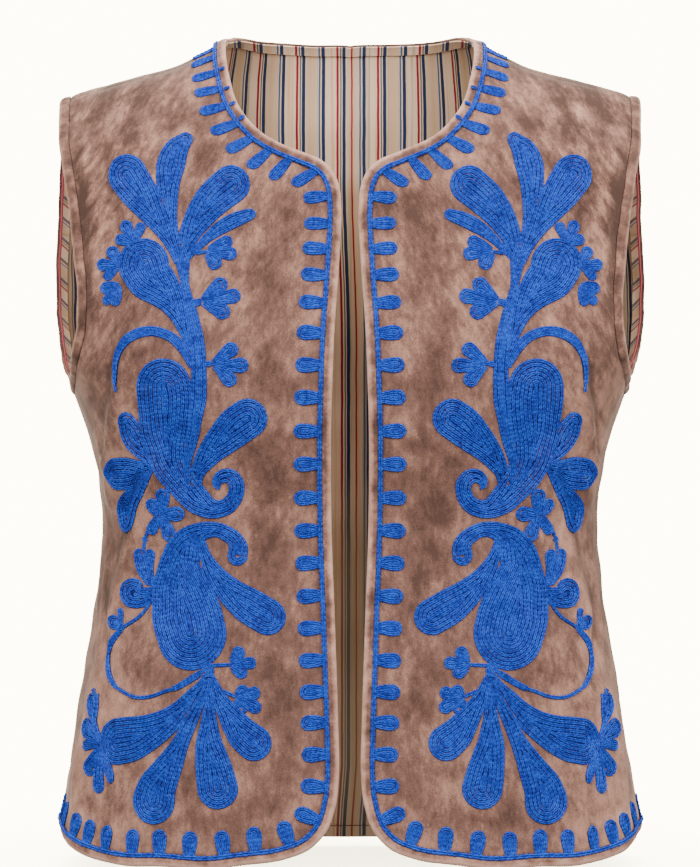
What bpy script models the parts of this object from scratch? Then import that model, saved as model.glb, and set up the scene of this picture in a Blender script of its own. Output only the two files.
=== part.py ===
"""Embroidered waistcoat, worn and filled out with no wearer: the cut pieces, bands and facings.

Metres, +Z up. +X is the wearer's left, the front faces -Y. The origin is midway between the two
neck points of the shoulders, where the wearer's neck would carry it.

Every piece lies on one body form. A place on the form is (across, down): across runs from -1 to 1,
side seam to side seam, and down is the distance from the shoulder ridge, positive in front and
negative behind. Pieces are cut from the form along the edge lines below.
"""

import bmesh
import bpy
import numpy as np

# The body form. Heights are below the neck points.
RIDGE = (  # (distance from centre, height) of the shoulder ridge
    (-0.050, 0.016),
    (0.000, 0.026),
    (0.050, 0.016),
    (0.082, 0.0015),
    (0.102, -0.010),
    (0.118, -0.0175),
    (0.145, -0.0255),
    (0.177, -0.034),
    (0.196, -0.0405),
    (0.216, -0.052),
)
HALF_WIDTH = (  # (height, half of the width at the side seams)
    (-0.560, 0.2005),
    (-0.530, 0.196),
    (-0.480, 0.1876),
    (-0.420, 0.1783),
    (-0.374, 0.171),
    (-0.342, 0.1677),
    (-0.312, 0.1674),
    (-0.285, 0.171),
    (-0.2525, 0.181),
    (-0.2322, 0.1885),
    (-0.220, 0.1965),
    (-0.204, 0.205),
    (-0.185, 0.212),
    (-0.160, 0.2155),
    (-0.120, 0.216),
    (0.040, 0.216),
)
DEPTH = (  # (height, depth of the front, depth of the back)
    (-0.560, 0.104, 0.094),
    (-0.450, 0.098, 0.088),
    (-0.320, 0.088, 0.073),
    (-0.235, 0.105, 0.083),
    (-0.150, 0.093, 0.092),
    (-0.080, 0.080, 0.084),
    (-0.040, 0.068, 0.070),
    (0.040, 0.066, 0.066),
)
FULLNESS = 0.3  # how far the form's section stands outside an ellipse
RIDGE_RISE = 0.070  # height in which the shoulder closes from full depth to its ridge
HEM_Z = -0.5475
HEM_SIDE_RISE = 0.018
HEM_RISE_FROM = 0.55  # across the form, where the hem starts to rise towards the side seam
SEAM_FORWARD = 0.0218  # the shoulder seam lies this far in front of the ridge

# The cut edges, as (distance from centre, height), from the shoulder down.
NECK_AND_FRONT_EDGE = (
    (0.0829, -0.0137),
    (0.0798, -0.0297),
    (0.0742, -0.0472),
    (0.0658, -0.0597),
    (0.0565, -0.0686),
    (0.0447, -0.0753),
    (0.0297, -0.0815),
    (0.0185, -0.0865),
    (0.0112, -0.0936),
    (0.0070, -0.1035),
    (0.0056, -0.118),
    (0.0068, -0.150),
    (0.0104, -0.205),
    (0.0123, -0.270),
    (0.0121, -0.320),
    (0.0097, -0.390),
    (0.0076, -0.455),
    (0.0071, -0.485),
    (0.0096, -0.508),
    (0.0160, -0.5245),
    (0.0258, -0.5345),
    (0.0430, -0.5415),
    (0.0740, -0.5460),
)
BACK_NECK_EDGE = (
    (0.0760, 0.0036),
    (0.0600, 0.0036),
    (0.0300, 0.0026),
    (0.0000, 0.0022),
)
FRONT_ARMHOLE = (
    (0.1955, -0.0560),
    (0.1945, -0.0700),
    (0.1893, -0.0983),
    (0.1853, -0.1261),
    (0.1823, -0.1537),
    (0.1805, -0.1800),
    (0.1812, -0.1950),
    (0.1832, -0.2085),
    (0.1860, -0.2206),
    (0.1882, -0.2282),
)
BACK_ARMHOLE = (
    (0.1980, -0.0660),
    (0.2005, -0.1000),
    (0.2020, -0.1400),
    (0.2020, -0.1800),
    (0.1990, -0.2040),
    (0.1945, -0.2195),
    (0.1905, -0.2280),
)
SHOULDER_TIP = 0.196
UNDERARM_Z = -0.2322
NECK_AT_SEAM = 0.0835
NECK_AT_RIDGE = 0.0822
HEM_PLACES = (0.40, 0.55, 0.70, 0.85, 0.95, 1.0)  # across the form, past the hem's corner

# Largest folds: crest from one (across, height) to another, half-width, how far it stands out.
FRONT_FOLDS = (
    (0.46, -0.215, 0.74, -0.300, 0.020, 0.0045),
    (0.52, -0.290, 0.70, -0.380, 0.018, 0.0035),
    (0.74, -0.440, 0.76, -0.560, 0.020, 0.0030),
)
BACK_FOLDS = (
    (0.42, -0.210, 0.72, -0.300, 0.022, 0.0045),
    (0.25, -0.300, 0.60, -0.350, 0.020, 0.0035),
    (0.55, -0.440, 0.60, -0.560, 0.022, 0.0030),
)
ACROSS_LENGTH = 0.24  # of the form from its centre to a side seam

# Cloth
VELVET_WALL = 0.0014
LINING_WALL = 0.0010
FACING_WALL = 0.0008
CLEARANCE = 0.0003
BAND_GAP = 0.0005  # between a band and the panel that it edges
SEAM_GAP = 0.00015  # from each side of the shoulder seam to its line
SIDE_GAP = 0.0008  # the same at a side seam, as a share of the form's half
BAND_WIDTH = 0.008
BAND_SWELL = 0.0003
BAND_FOLD = 0.0005  # how far the facings stay in from the cut edge
LINING_DEPTH = VELVET_WALL + CLEARANCE
BAND_WALL = LINING_DEPTH + LINING_WALL
FACING_DEPTH = BAND_WALL + CLEARANCE

VELVET_COLOUR = (0.38, 0.25, 0.19)
BAND_COLOUR = (0.41, 0.28, 0.21)
LINING_COLOUR = (0.62, 0.50, 0.36)
FACING_COLOUR = (0.70, 0.60, 0.46)

# How finely the pieces are divided
ROWS = 28
ARMHOLE_ROWS = 12
SHOULDER_COLUMNS = 9
BACK_NECK_COLUMNS = 4
TURN_LENGTH = 0.04  # of edge line that gets as many points as a turn of one radian
STEP = 1e-4  # for slopes of the form
SHARP_EDGE = np.radians(50)


def smooth(table, at, column=1):
    """Smooth curve through one column of a table, by its rising first column."""
    rows = np.array(table)
    x, y = rows[:, 0], rows[:, column]
    slope = np.gradient(y, x)
    at = np.clip(at, x[0], x[-1])
    i = np.clip(np.searchsorted(x, at) - 1, 0, len(x) - 2)
    width = x[i + 1] - x[i]
    t = (at - x[i]) / width
    rise = y[i] * (1 + 2 * t) * (1 - t) ** 2 + y[i + 1] * t * t * (3 - 2 * t)
    return rise + width * (slope[i] * t * (1 - t) ** 2 - slope[i + 1] * t * t * (1 - t))


def ridge_height(across):
    return smooth(RIDGE, smooth(HALF_WIDTH, 0.0) * np.abs(np.sin(across * np.pi / 2)))


def fold_height(across, height, front):
    """How far the largest folds stand out of the form at a place."""
    total = np.zeros_like(across)
    for folds, here in ((FRONT_FOLDS, front), (BACK_FOLDS, ~front)):
        for a0, z0, a1, z1, half_width, stand in folds:
            along = np.array([(a1 - a0) * ACROSS_LENGTH, z1 - z0])
            from_start = np.stack([(np.abs(across) - a0) * ACROSS_LENGTH, height - z0], axis=-1)
            t = np.clip(from_start @ along / (along @ along), 0, 1)
            away = np.linalg.norm(from_start - t[..., None] * along, axis=-1)
            total += here * stand * np.exp(-((away / half_width) ** 2))
    return total


def form(across, down):
    """Points of the body form, without folds."""
    turn = np.pi / 2 * RIDGE_RISE
    below = np.where(
        np.abs(down) < turn,
        RIDGE_RISE * (1 - np.cos(down / RIDGE_RISE)),
        RIDGE_RISE + np.abs(down) - turn,
    )
    closing = np.sin(np.minimum(np.abs(down), turn) / RIDGE_RISE)
    z = ridge_height(across) - below
    angle = across * np.pi / 2
    depth = np.where(down > 0, -smooth(DEPTH, z, 1), smooth(DEPTH, z, 2))
    x = smooth(HALF_WIDTH, z) * np.sin(angle)
    y = depth * closing * np.cos(angle) * (1 + FULLNESS * np.sin(angle) ** 2)
    return np.stack([x, y, z], axis=-1)


def slopes(across, down):
    """The form's directions for one unit across and one unit down."""
    by_across = (form(across + STEP, down) - form(across - STEP, down)) / (2 * STEP)
    by_down = (form(across, down + STEP) - form(across, down - STEP)) / (2 * STEP)
    return by_across, by_down


def surface(across, down, out=0.0):
    """Points on the form with its folds, moved out along the normal."""
    across, down = np.asarray(across, float), np.asarray(down, float)
    by_across, by_down = slopes(across, down)
    normal = np.cross(by_down, by_across)
    normal /= np.linalg.norm(normal, axis=-1, keepdims=True)
    point = form(across, down)
    lift = fold_height(across, point[..., 2], down > 0) + out
    return point + normal * np.asarray(lift)[..., None]


def place(distance, height, front):
    """The place on the form at a distance from the centre and a height."""
    across = 2 / np.pi * np.arcsin(np.minimum(distance / smooth(HALF_WIDTH, height), 1.0))
    below = np.maximum(ridge_height(across) - height, 0)
    turned = RIDGE_RISE * np.arccos(1 - np.minimum(below, RIDGE_RISE) / RIDGE_RISE)
    down = turned + np.maximum(below - RIDGE_RISE, 0)
    return np.array([across, down if front else -down])


def hem_height(across):
    rising = max(0.0, (abs(across) - HEM_RISE_FROM) / (1 - HEM_RISE_FROM))
    return HEM_Z + HEM_SIDE_RISE * rising**2 * (3 - 2 * rising)


def hem_place(across, front):
    below = ridge_height(across) - hem_height(across)
    down = np.pi / 2 * RIDGE_RISE + below - RIDGE_RISE
    return np.array([across, down if front else -down])


def at_shoulder(distance, down):
    """The place at a distance from the centre on a line along the shoulder."""
    across = 2 / np.pi * np.arcsin(distance / smooth(HALF_WIDTH, 0.0))
    return np.array([across, down])


def stations(points, count):
    """Smooth curve through places, as places at even steps that are shorter where it turns."""
    points = np.array(points)
    chord = np.linalg.norm(np.diff(surface(*points.T), axis=0), axis=1)
    at = np.concatenate([[0], np.cumsum(chord)])
    fine = np.linspace(0, at[-1], 40 * len(points))
    curve = [smooth(np.stack([at, points[:, k]], axis=-1), fine) for k in (0, 1)]
    runs = np.diff(surface(*curve), axis=0)
    lengths = np.linalg.norm(runs, axis=1)
    turns = np.linalg.norm(np.gradient(runs / lengths[:, None], axis=0), axis=1)
    reached = np.concatenate([[0], np.cumsum(lengths + TURN_LENGTH * turns)])
    even = np.linspace(0, reached[-1], count + 1)
    return np.stack([np.interp(even, reached, c) for c in curve], axis=-1)


def inset(line, distance):
    """A line of places moved in from the cut edge, to the left of the way it runs."""
    steps = max(1, round(distance / 0.003))
    for _ in range(steps):
        by_across, by_down = slopes(*line.T)
        normal = np.cross(by_down, by_across)
        run = np.gradient(surface(*line.T), axis=0)
        inward = np.cross(normal, run)
        inward *= distance / steps / np.linalg.norm(inward, axis=-1, keepdims=True)
        moved = []
        for base, move in zip(np.stack([by_across, by_down], axis=-1), inward):
            moved.append(np.linalg.lstsq(base, move, rcond=None)[0])
        line = line + np.array(moved)
    return line


def front_edge():
    """Neck, front edge, corner and hem as places, from shoulder seam to side seam."""
    cut = [place(x, z, True) for x, z in NECK_AND_FRONT_EDGE]
    hem = [hem_place(across, True) for across in HEM_PLACES]
    line = [at_shoulder(NECK_AT_SEAM, SEAM_FORWARD), *cut, *hem]
    return stations(line, ROWS + SHOULDER_COLUMNS)


def front_armhole():
    cut = [place(x, z, True) for x, z in FRONT_ARMHOLE]
    line = [at_shoulder(SHOULDER_TIP, SEAM_FORWARD), *cut, place(1.0, UNDERARM_Z, True)]
    return stations(line, ARMHOLE_ROWS)


def back_armhole():
    cut = [place(x, z, False) for x, z in BACK_ARMHOLE]
    tip = [at_shoulder(SHOULDER_TIP, down) for down in (SEAM_FORWARD, 0.0)]
    return stations([*tip, *cut, place(1.0, UNDERARM_Z, False)], ARMHOLE_ROWS)


def back_neck():
    """The back neck edge as places, from the shoulder seam to the centre of the back."""
    cut = [place(x, z, False) for x, z in BACK_NECK_EDGE]
    line = [at_shoulder(NECK_AT_SEAM, SEAM_FORWARD), at_shoulder(NECK_AT_RIDGE, 0.0), *cut]
    return stations(line, BACK_NECK_COLUMNS)


def back_hem():
    """The back hem as places, from the centre to the side seam."""
    across = np.linspace(0, 1, SHOULDER_COLUMNS + BACK_NECK_COLUMNS + 1)
    return np.array([hem_place(a, False) for a in across])


def armhole(distance):
    """Both halves of the armhole moved into the cloth, meeting at the seams."""
    front = inset(front_armhole(), -distance)
    back = inset(back_armhole(), distance)
    tip = (front[0, 0] + back[0, 0]) / 2
    low = (front[-1, 1] - back[-1, 1]) / 2
    front[0] = back[0] = (tip, SEAM_FORWARD)
    front[-1], back[-1] = (1, low), (1, -low)
    return front, back


def held_at_seams(line, down=None, across=None):
    """A line whose first place lies on the shoulder seam and whose last on the side seam."""
    if down is not None:
        line[0, 1] = down
    if across is not None:
        line[-1, 0] = across
    return line


def patch(top, bottom, left, right):
    """Places inside four edges, blended from them."""
    a = np.linspace(0, 1, len(top))[None, :, None]
    b = np.linspace(0, 1, len(left))[:, None, None]
    sides = (1 - a) * left[:, None] + a * right[:, None]
    ends = (1 - b) * top[None] + b * bottom[None]
    upper = (1 - a) * top[0] + a * top[-1]
    lower = (1 - a) * bottom[0] + a * bottom[-1]
    return sides + ends - (1 - b) * upper - b * lower


def front_places():
    """The left front inside its bands, rows from the shoulder down, columns towards the side."""
    inside = BAND_WIDTH + BAND_GAP
    seam = SEAM_FORWARD + SEAM_GAP
    edge = held_at_seams(inset(front_edge(), inside), seam, 1 - SIDE_GAP)
    sleeve = held_at_seams(armhole(inside)[0], seam, 1 - SIDE_GAP)
    left, bottom = edge[: ROWS + 1], edge[ROWS:]
    side = np.linspace(sleeve[-1], bottom[-1], ROWS - ARMHOLE_ROWS + 1)
    right = np.concatenate([sleeve, side[1:]])
    top = np.linspace(left[0], right[0], SHOULDER_COLUMNS + 1)
    return patch(top, bottom, left, right)


def back_places():
    """The back inside its bands, rows from the shoulder down, columns from -X to +X."""
    inside = BAND_WIDTH + BAND_GAP
    seam = SEAM_FORWARD - SEAM_GAP
    neck = held_at_seams(inset(back_neck(), -inside), seam, 0.0)
    sleeve = held_at_seams(armhole(inside)[1], seam, 1 - SIDE_GAP)
    hem = held_at_seams(inset(back_hem(), -inside), None, 1 - SIDE_GAP)
    hem[0, 0] = 0.0
    side = np.linspace(sleeve[-1], hem[-1], ROWS - ARMHOLE_ROWS + 1)
    right = np.concatenate([sleeve, side[1:]])
    shoulder = np.linspace(neck[0], sleeve[0], SHOULDER_COLUMNS + 1)
    top = np.concatenate([neck[::-1], shoulder[1:]])
    return patch(both_sides(top), both_sides(hem), mirrored(right), right)


def mirrored(places):
    return places * (-1, 1)


def both_sides(line):
    """A line from the centre to the +X side, with its mirror image before it."""
    return np.concatenate([mirrored(line[:0:-1]), line])


def cloth_material(name, colour):
    material = bpy.data.materials.new(name)
    material.use_nodes = True
    shader = material.node_tree.nodes["Principled BSDF"]
    shader.inputs["Base Color"].default_value = (*colour, 1)
    shader.inputs["Roughness"].default_value = 0.9
    return material


def rising_diagonals(points):
    """For each cell of a grid that is closed down its rows, whether its rising diagonal is shorter."""
    below = np.roll(points, -1, axis=0)
    falling = np.linalg.norm(below[:, 1:] - points[:, :-1], axis=-1)
    return np.linalg.norm(points[:, 1:] - below[:, :-1], axis=-1) < falling


def add_cloth(name, places, out, wall, material, closed=False):
    """A closed cloth wall on a grid of places, its outer face moved out from the form.

    Each row runs over the outer face and back under the inner one, and both are split along the
    form's shorter diagonals, so that layers lie flat on each other. A ring is closed in itself,
    and any other piece is closed at its first and last row.
    """
    across, down = places[..., 0], places[..., 1]
    outer, inner = surface(across, down, out), surface(across, down, out - wall)
    loops = np.concatenate([outer, inner[:, ::-1]], axis=1)
    rising = rising_diagonals(surface(across, down))
    last = outer.shape[1] - 1
    shaped = bmesh.new()
    rows = [[shaped.verts.new(point) for point in loop] for loop in loops]
    for r, (upper, lower) in enumerate(zip(rows, rows[1:] + rows[:1] if closed else rows[1:])):
        for k in range(len(upper)):
            corners = (upper[k - 1], lower[k - 1], lower[k], upper[k])
            under = k > last + 1
            column = 2 * last + 1 - k if under else k - 1
            first = int(rising[r, column % last] != under)
            a, b, c, d = corners[first:] + corners[:first]
            shaped.faces.new((a, b, c))
            shaped.faces.new((a, c, d))
    if not closed:
        for end in (rows[0], rows[-1]):
            for k in range(outer.shape[1] - 1):
                shaped.faces.new((end[k], end[k + 1], end[-k - 2], end[-k - 1]))
    bmesh.ops.recalc_face_normals(shaped, faces=shaped.faces)
    mesh = bpy.data.meshes.new(name)
    shaped.to_mesh(mesh)
    shaped.free()
    mesh.shade_smooth()
    mesh.set_sharp_from_angle(angle=SHARP_EDGE)
    mesh.materials.append(material)
    piece = bpy.data.objects.new(name, mesh)
    collection.objects.link(piece)
    piece.parent = hanger


def strip(line_at, distances):
    """Places of a strip, from its lines at some distances from the cut edge."""
    return np.stack([line_at(distance) for distance in distances], axis=1)


def front_line(distance):
    """The left front's edge moved into the cloth, from shoulder seam to side seam."""
    line = inset(front_edge(), distance) if distance else front_edge()
    return held_at_seams(line, SEAM_FORWARD + SEAM_GAP, 1 - SIDE_GAP)


def neck_line(distance):
    """The back's neck edge moved into the cloth, from the -X shoulder seam to the +X one."""
    line = inset(back_neck(), -distance) if distance else back_neck()
    held_at_seams(line, SEAM_FORWARD - SEAM_GAP, 0.0)
    return both_sides(line[::-1])


def hem_line(distance):
    """The back's hem moved into the cloth, from side seam to side seam."""
    line = inset(back_hem(), -distance) if distance else back_hem()
    line[0, 0] = 0.0
    return both_sides(held_at_seams(line, None, 1 - SIDE_GAP))


def armhole_line(distance):
    """The +X armhole's whole edge moved into the cloth, a closed line without its last place."""
    front, back = armhole(distance)
    return np.concatenate([front, back[-2:0:-1]])


for old in list(bpy.data.objects):
    bpy.data.objects.remove(old, do_unlink=True)
collection = bpy.data.collections.new("embroidered_waistcoat")
bpy.context.scene.collection.children.link(collection)
hanger = bpy.data.objects.new("wearer", None)
collection.objects.link(hanger)

velvet = cloth_material("taupe_velvet", VELVET_COLOUR)
band_velvet = cloth_material("taupe_velvet_band", BAND_COLOUR)
lining = cloth_material("striped_lining", LINING_COLOUR)
facing = cloth_material("striped_facing", FACING_COLOUR)

BAND_LINES = (0.0, BAND_WIDTH / 3, 2 * BAND_WIDTH / 3, BAND_WIDTH)
BAND_OUT = np.array((0.0, BAND_SWELL, BAND_SWELL, 0.0))
FACING_LINES = (BAND_FOLD, *BAND_LINES[1:])

fronts = front_places()
front_bands = strip(front_line, BAND_LINES)
armhole_bands = strip(armhole_line, BAND_LINES)
armhole_facings = strip(armhole_line, FACING_LINES)
for side, turned in (("left", lambda places: places), ("right", mirrored)):
    add_cloth(f"front_{side}", turned(fronts), 0.0, VELVET_WALL, velvet)
    add_cloth(f"lining_front_{side}", turned(fronts), -LINING_DEPTH, LINING_WALL, lining)
    add_cloth(f"band_front_{side}", turned(front_bands), BAND_OUT, BAND_WALL, band_velvet)
    add_cloth(f"band_armhole_{side}", turned(armhole_bands), BAND_OUT, BAND_WALL, band_velvet, True)
    inside = turned(armhole_facings)
    add_cloth(f"facing_armhole_{side}", inside, -FACING_DEPTH, FACING_WALL, facing, True)

backs = back_places()
add_cloth("back", backs, 0.0, VELVET_WALL, velvet)
add_cloth("lining_back", backs, -LINING_DEPTH, LINING_WALL, lining)
for name, line_at in (("neck", neck_line), ("hem", hem_line)):
    add_cloth(f"band_back_{name}", strip(line_at, BAND_LINES), BAND_OUT, BAND_WALL, band_velvet)
    inside = strip(line_at, FACING_LINES)
    add_cloth(f"facing_back_{name}", inside, -FACING_DEPTH, FACING_WALL, facing)
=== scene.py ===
"""Embroidered waistcoat, worn and filled out with no wearer.

Metres, +Z up. +X is the wearer's left, the front faces -Y, and the origin is midway between the
two neck points of the shoulders. A place on the body form is (across, down): across runs from -1
to 1, side seam to side seam, and down is the distance from the shoulder ridge, negative behind.
"""

import bpy
import numpy as np
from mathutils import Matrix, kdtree


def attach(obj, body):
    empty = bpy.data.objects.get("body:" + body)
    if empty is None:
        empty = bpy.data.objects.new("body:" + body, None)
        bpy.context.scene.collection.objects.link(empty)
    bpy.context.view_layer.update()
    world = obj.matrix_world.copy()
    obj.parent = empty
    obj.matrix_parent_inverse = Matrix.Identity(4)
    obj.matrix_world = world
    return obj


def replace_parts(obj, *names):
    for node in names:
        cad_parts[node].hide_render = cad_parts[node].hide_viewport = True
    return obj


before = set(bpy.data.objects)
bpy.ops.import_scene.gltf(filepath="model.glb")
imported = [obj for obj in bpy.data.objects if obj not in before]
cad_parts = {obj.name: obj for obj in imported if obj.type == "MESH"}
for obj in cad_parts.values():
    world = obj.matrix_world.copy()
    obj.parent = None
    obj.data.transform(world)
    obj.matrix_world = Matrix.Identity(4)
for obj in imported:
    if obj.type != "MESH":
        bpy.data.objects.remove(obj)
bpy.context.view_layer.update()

# The studio: a clear floor under the hem, painted grey as a shadow near the waistcoat, that runs
# out into a plain white room, big soft lamps on both sides and above, and a camera level with the
# middle of the waistcoat.
EYE = (0.0, -2.5, -0.2653)
LENS = 153.8
FLOOR_Z = -0.5535
FLOOR_REACH = 1.6
ROOM_WHITE, ROOM_BRIGHT = (1.0, 0.911, 0.644), 14.6  # what the eye sees behind the waistcoat
ROOM_LIGHT, ROOM_DIM = (1.0, 0.975, 0.95), 0.52  # what falls on the waistcoat
FLOOR_CORNERS = 64
# Painted shadow on the floor: its grey, and how much of it shows where the waistcoat hides the
# floor within the reach.
FLOOR_SHADOW_GREY = (0.42, 0.40, 0.35)
FLOOR_SHADOW_COVER, SHADOW_REACH = 0.8, 0.30
LAMP_AIM = (0.0, 0.0, -0.27)
LAMPS = (  # name, place, size, power
    ("key_lamp", (-0.9, -1.9, 1.0), 1.3, 68.0),
    ("fill_lamp", (1.2, -1.7, 0.8), 1.4, 54.0),
    ("top_lamp", (0.1, -0.2, 1.5), 1.2, 30.0),
    ("back_lamp", (-0.4, 2.2, 0.9), 1.6, 60.0),
)


class Dye:
    """A socket of a material that is being mixed, with arithmetic that adds its Math nodes."""

    def __init__(self, tree, socket=None):
        self.tree, self.socket = tree, socket

    def node(self, kind, sockets=(), take=0, stops=(), **settings):
        """Adds a node with its settings, then the values or links of its sockets."""
        made = self.tree.nodes.new(kind)
        for setting, value in settings.items():
            setattr(made, setting, value)
        if stops:
            ramp = made.color_ramp
            while len(ramp.elements) < len(stops):
                ramp.elements.new(0.5)
            for stop, (at, colour) in zip(ramp.elements, stops):
                stop.position, stop.color = at, (*colour, 1)
        for socket, value in dict(sockets).items():
            if isinstance(value, Dye):
                self.tree.links.new(value.socket, made.inputs[socket])
            else:
                made.inputs[socket].default_value = value
        return Dye(self.tree, made.outputs[take]) if made.outputs else None

    def math(self, operation, *values):
        return self.node("ShaderNodeMath", enumerate(values), operation=operation)

    def __add__(self, other):
        return self.math("ADD", self, other)

    def __sub__(self, other):
        return self.math("SUBTRACT", self, other)

    def __rsub__(self, other):
        return self.math("SUBTRACT", other, self)

    def __mul__(self, other):
        return self.math("MULTIPLY", self, other)

    def __truediv__(self, other):
        return self.math("DIVIDE", self, other)

    def __lt__(self, other):
        return self.math("LESS_THAN", self, other)

    def __abs__(self):
        return self.math("ABSOLUTE", self)

    __radd__, __rmul__ = __add__, __mul__

    def part(self, vector, which):
        return self.node("ShaderNodeSeparateXYZ", {0: vector}, take=which)

    def ramp(self, value, start, end, first=0.0, last=1.0, **settings):
        """What goes from first to last while a value goes from start to end."""
        sockets = {0: value, 1: start, 2: end, 3: first, 4: last}
        return self.node("ShaderNodeMapRange", sockets, **settings)

    def noise(self, at, scale, detail=2.0, roughness=0.5, distortion=0.0):
        sockets = {"Vector": at, "Scale": scale, "Detail": detail}
        sockets.update({"Roughness": roughness, "Distortion": distortion})
        return self.node("ShaderNodeTexNoise", sockets)

    def mixed(self, amount, first, second, how="MIX"):
        """Two colours mixed by an amount."""
        first, second = (c if isinstance(c, Dye) else (*c, 1) for c in (first, second))
        sockets = {0: amount, 6: first, 7: second}
        return self.node("ShaderNodeMix", sockets, take=2, data_type="RGBA", blend_type=how)

    def stretched(self, at, by):
        """A vector with each of its directions scaled."""
        return self.node("ShaderNodeVectorMath", {0: at, 1: by}, operation="MULTIPLY")

    def bump(self, strength, distance, height):
        sockets = {"Strength": strength, "Distance": distance, "Height": height}
        return self.node("ShaderNodeBump", sockets)


def new_finish(name, **shader):
    """A material and its principled shader, with the settings that are the same all over."""
    material = bpy.data.materials.new(name)
    material.use_nodes = True
    principled = material.node_tree.nodes["Principled BSDF"]
    for socket, value in shader.items():
        principled.inputs[socket.replace("_", " ")].default_value = value
    return material, Dye(material.node_tree), principled


def feed(shader, **links):
    """Links what changes from place to place to a shader."""
    for socket, value in links.items():
        value.tree.links.new(value.socket, shader.inputs[socket.replace("_", " ")])


camera = bpy.data.objects.new("camera", bpy.data.cameras.new("camera"))
camera.location = EYE
camera.rotation_euler = (np.pi / 2, 0, 0)
camera.data.lens = LENS
bpy.context.collection.objects.link(camera)
bpy.context.scene.camera = camera

for name, place_of_lamp, size, power in LAMPS:
    lamp = bpy.data.lights.new(name, "AREA")
    lamp.shape, lamp.size, lamp.energy = "DISK", size, power
    stand = bpy.data.objects.new(name, lamp)
    stand.location = place_of_lamp
    aim = np.subtract(LAMP_AIM, place_of_lamp)
    turn = np.arctan2(aim[1], aim[0]) - np.pi / 2
    stand.rotation_euler = (np.arctan2(np.hypot(*aim[:2]), -aim[2]), 0, turn)
    bpy.context.collection.objects.link(stand)

room = bpy.data.worlds.new("white_room")
room.use_nodes = True
bpy.context.scene.world = room
seen = Dye(room.node_tree).node("ShaderNodeLightPath")
feed(
    room.node_tree.nodes["Background"],
    Color=seen.mixed(seen, ROOM_LIGHT, ROOM_WHITE),
    Strength=ROOM_DIM + seen * (ROOM_BRIGHT - ROOM_DIM),
)

ring = np.linspace(0, 2 * np.pi, FLOOR_CORNERS, endpoint=False)
rim = np.stack([np.cos(ring), np.sin(ring), 0 * ring], axis=-1) * FLOOR_REACH
floor_mesh = bpy.data.meshes.new("floor")
floor_mesh.from_pydata((rim + (0, 0, FLOOR_Z)).tolist(), [], [list(range(FLOOR_CORNERS))])
floor = bpy.data.objects.new("floor", floor_mesh)
bpy.context.collection.objects.link(floor)
floor_shadow, dye, shader = new_finish(
    "painted_floor_shadow", Base_Color=(*FLOOR_SHADOW_GREY, 1), Roughness=0.9, Specular_IOR_Level=0.1
)
# Painted shadow: the floor shows its grey only as far as ambient occlusion finds the waistcoat near
# it, and is clear elsewhere.
covered = dye.node("ShaderNodeAmbientOcclusion", {1: SHADOW_REACH}, take=1, samples=12)
feed(shader, Alpha=(1 - covered) * FLOOR_SHADOW_COVER)
floor_mesh.materials.append(floor_shadow)

# The two fronts and the back: crushed cotton velvet with a short pile, 1.4 mm thick, cut to the
# body and sewn at the shoulders and sides. The pile is brushed in patches, and the cloth creases
# where it turns under the arms and into the waist.
RIDGE = (  # (distance from centre, height) of the shoulder ridge
    (-0.050, 0.016), (0.000, 0.026), (0.050, 0.016), (0.082, 0.0015), (0.102, -0.010),
    (0.118, -0.0175), (0.145, -0.0255), (0.177, -0.034), (0.196, -0.0405), (0.216, -0.052),
)
HALF_WIDTH = (  # (height, half of the width at the side seams)
    (-0.560, 0.2005), (-0.530, 0.196), (-0.480, 0.1876), (-0.420, 0.1783), (-0.374, 0.171),
    (-0.342, 0.1677), (-0.312, 0.1674), (-0.285, 0.171), (-0.2525, 0.181), (-0.2322, 0.1885),
    (-0.220, 0.1965), (-0.204, 0.205), (-0.185, 0.212), (-0.160, 0.2155), (-0.120, 0.216),
    (0.040, 0.216),
)
DEPTH = (  # (height, depth of the front, depth of the back)
    (-0.560, 0.104, 0.094), (-0.450, 0.098, 0.088), (-0.320, 0.088, 0.073), (-0.235, 0.105, 0.083),
    (-0.150, 0.093, 0.092), (-0.080, 0.080, 0.084), (-0.040, 0.068, 0.070), (0.040, 0.066, 0.066),
)
FULLNESS = 0.3  # how much fuller than an ellipse the form is towards its sides
RIDGE_RISE = 0.070  # radius of the turn over the shoulders
HEM_Z = -0.5475
HEM_SIDE_RISE = 0.018  # how much higher the hem lies at the side seams
HEM_RISE_FROM = 0.55  # across
SEAM_FORWARD = 0.0218  # how far down the front the shoulder seam lies
NECK_AND_FRONT_EDGE = (  # (distance from centre, height), from the shoulder down
    (0.0829, -0.0137), (0.0798, -0.0297), (0.0742, -0.0472), (0.0658, -0.0597), (0.0565, -0.0686),
    (0.0447, -0.0753), (0.0297, -0.0815), (0.0185, -0.0865), (0.0112, -0.0936), (0.0070, -0.1035),
    (0.0056, -0.118), (0.0068, -0.150), (0.0104, -0.205), (0.0123, -0.270), (0.0121, -0.320),
    (0.0097, -0.390), (0.0076, -0.455), (0.0071, -0.485), (0.0096, -0.508), (0.0160, -0.5245),
    (0.0258, -0.5345), (0.0430, -0.5415), (0.0740, -0.5460),
)
BACK_NECK_EDGE = ((0.0760, 0.0036), (0.0600, 0.0036), (0.0300, 0.0026), (0.0000, 0.0022))
FRONT_ARMHOLE = (  # (distance from centre, height), from the shoulder down
    (0.1955, -0.0560), (0.1945, -0.0700), (0.1893, -0.0983), (0.1853, -0.1261), (0.1823, -0.1537),
    (0.1805, -0.1800), (0.1812, -0.1950), (0.1832, -0.2085), (0.1860, -0.2206), (0.1882, -0.2282),
)
BACK_ARMHOLE = (  # the same
    (0.1980, -0.0660), (0.2005, -0.1000), (0.2020, -0.1400), (0.2020, -0.1800), (0.1990, -0.2040),
    (0.1945, -0.2195), (0.1905, -0.2280),
)
SHOULDER_TIP = 0.196
UNDERARM_Z = -0.2322
NECK_AT_SEAM = 0.0835
NECK_AT_RIDGE = 0.0822
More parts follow.
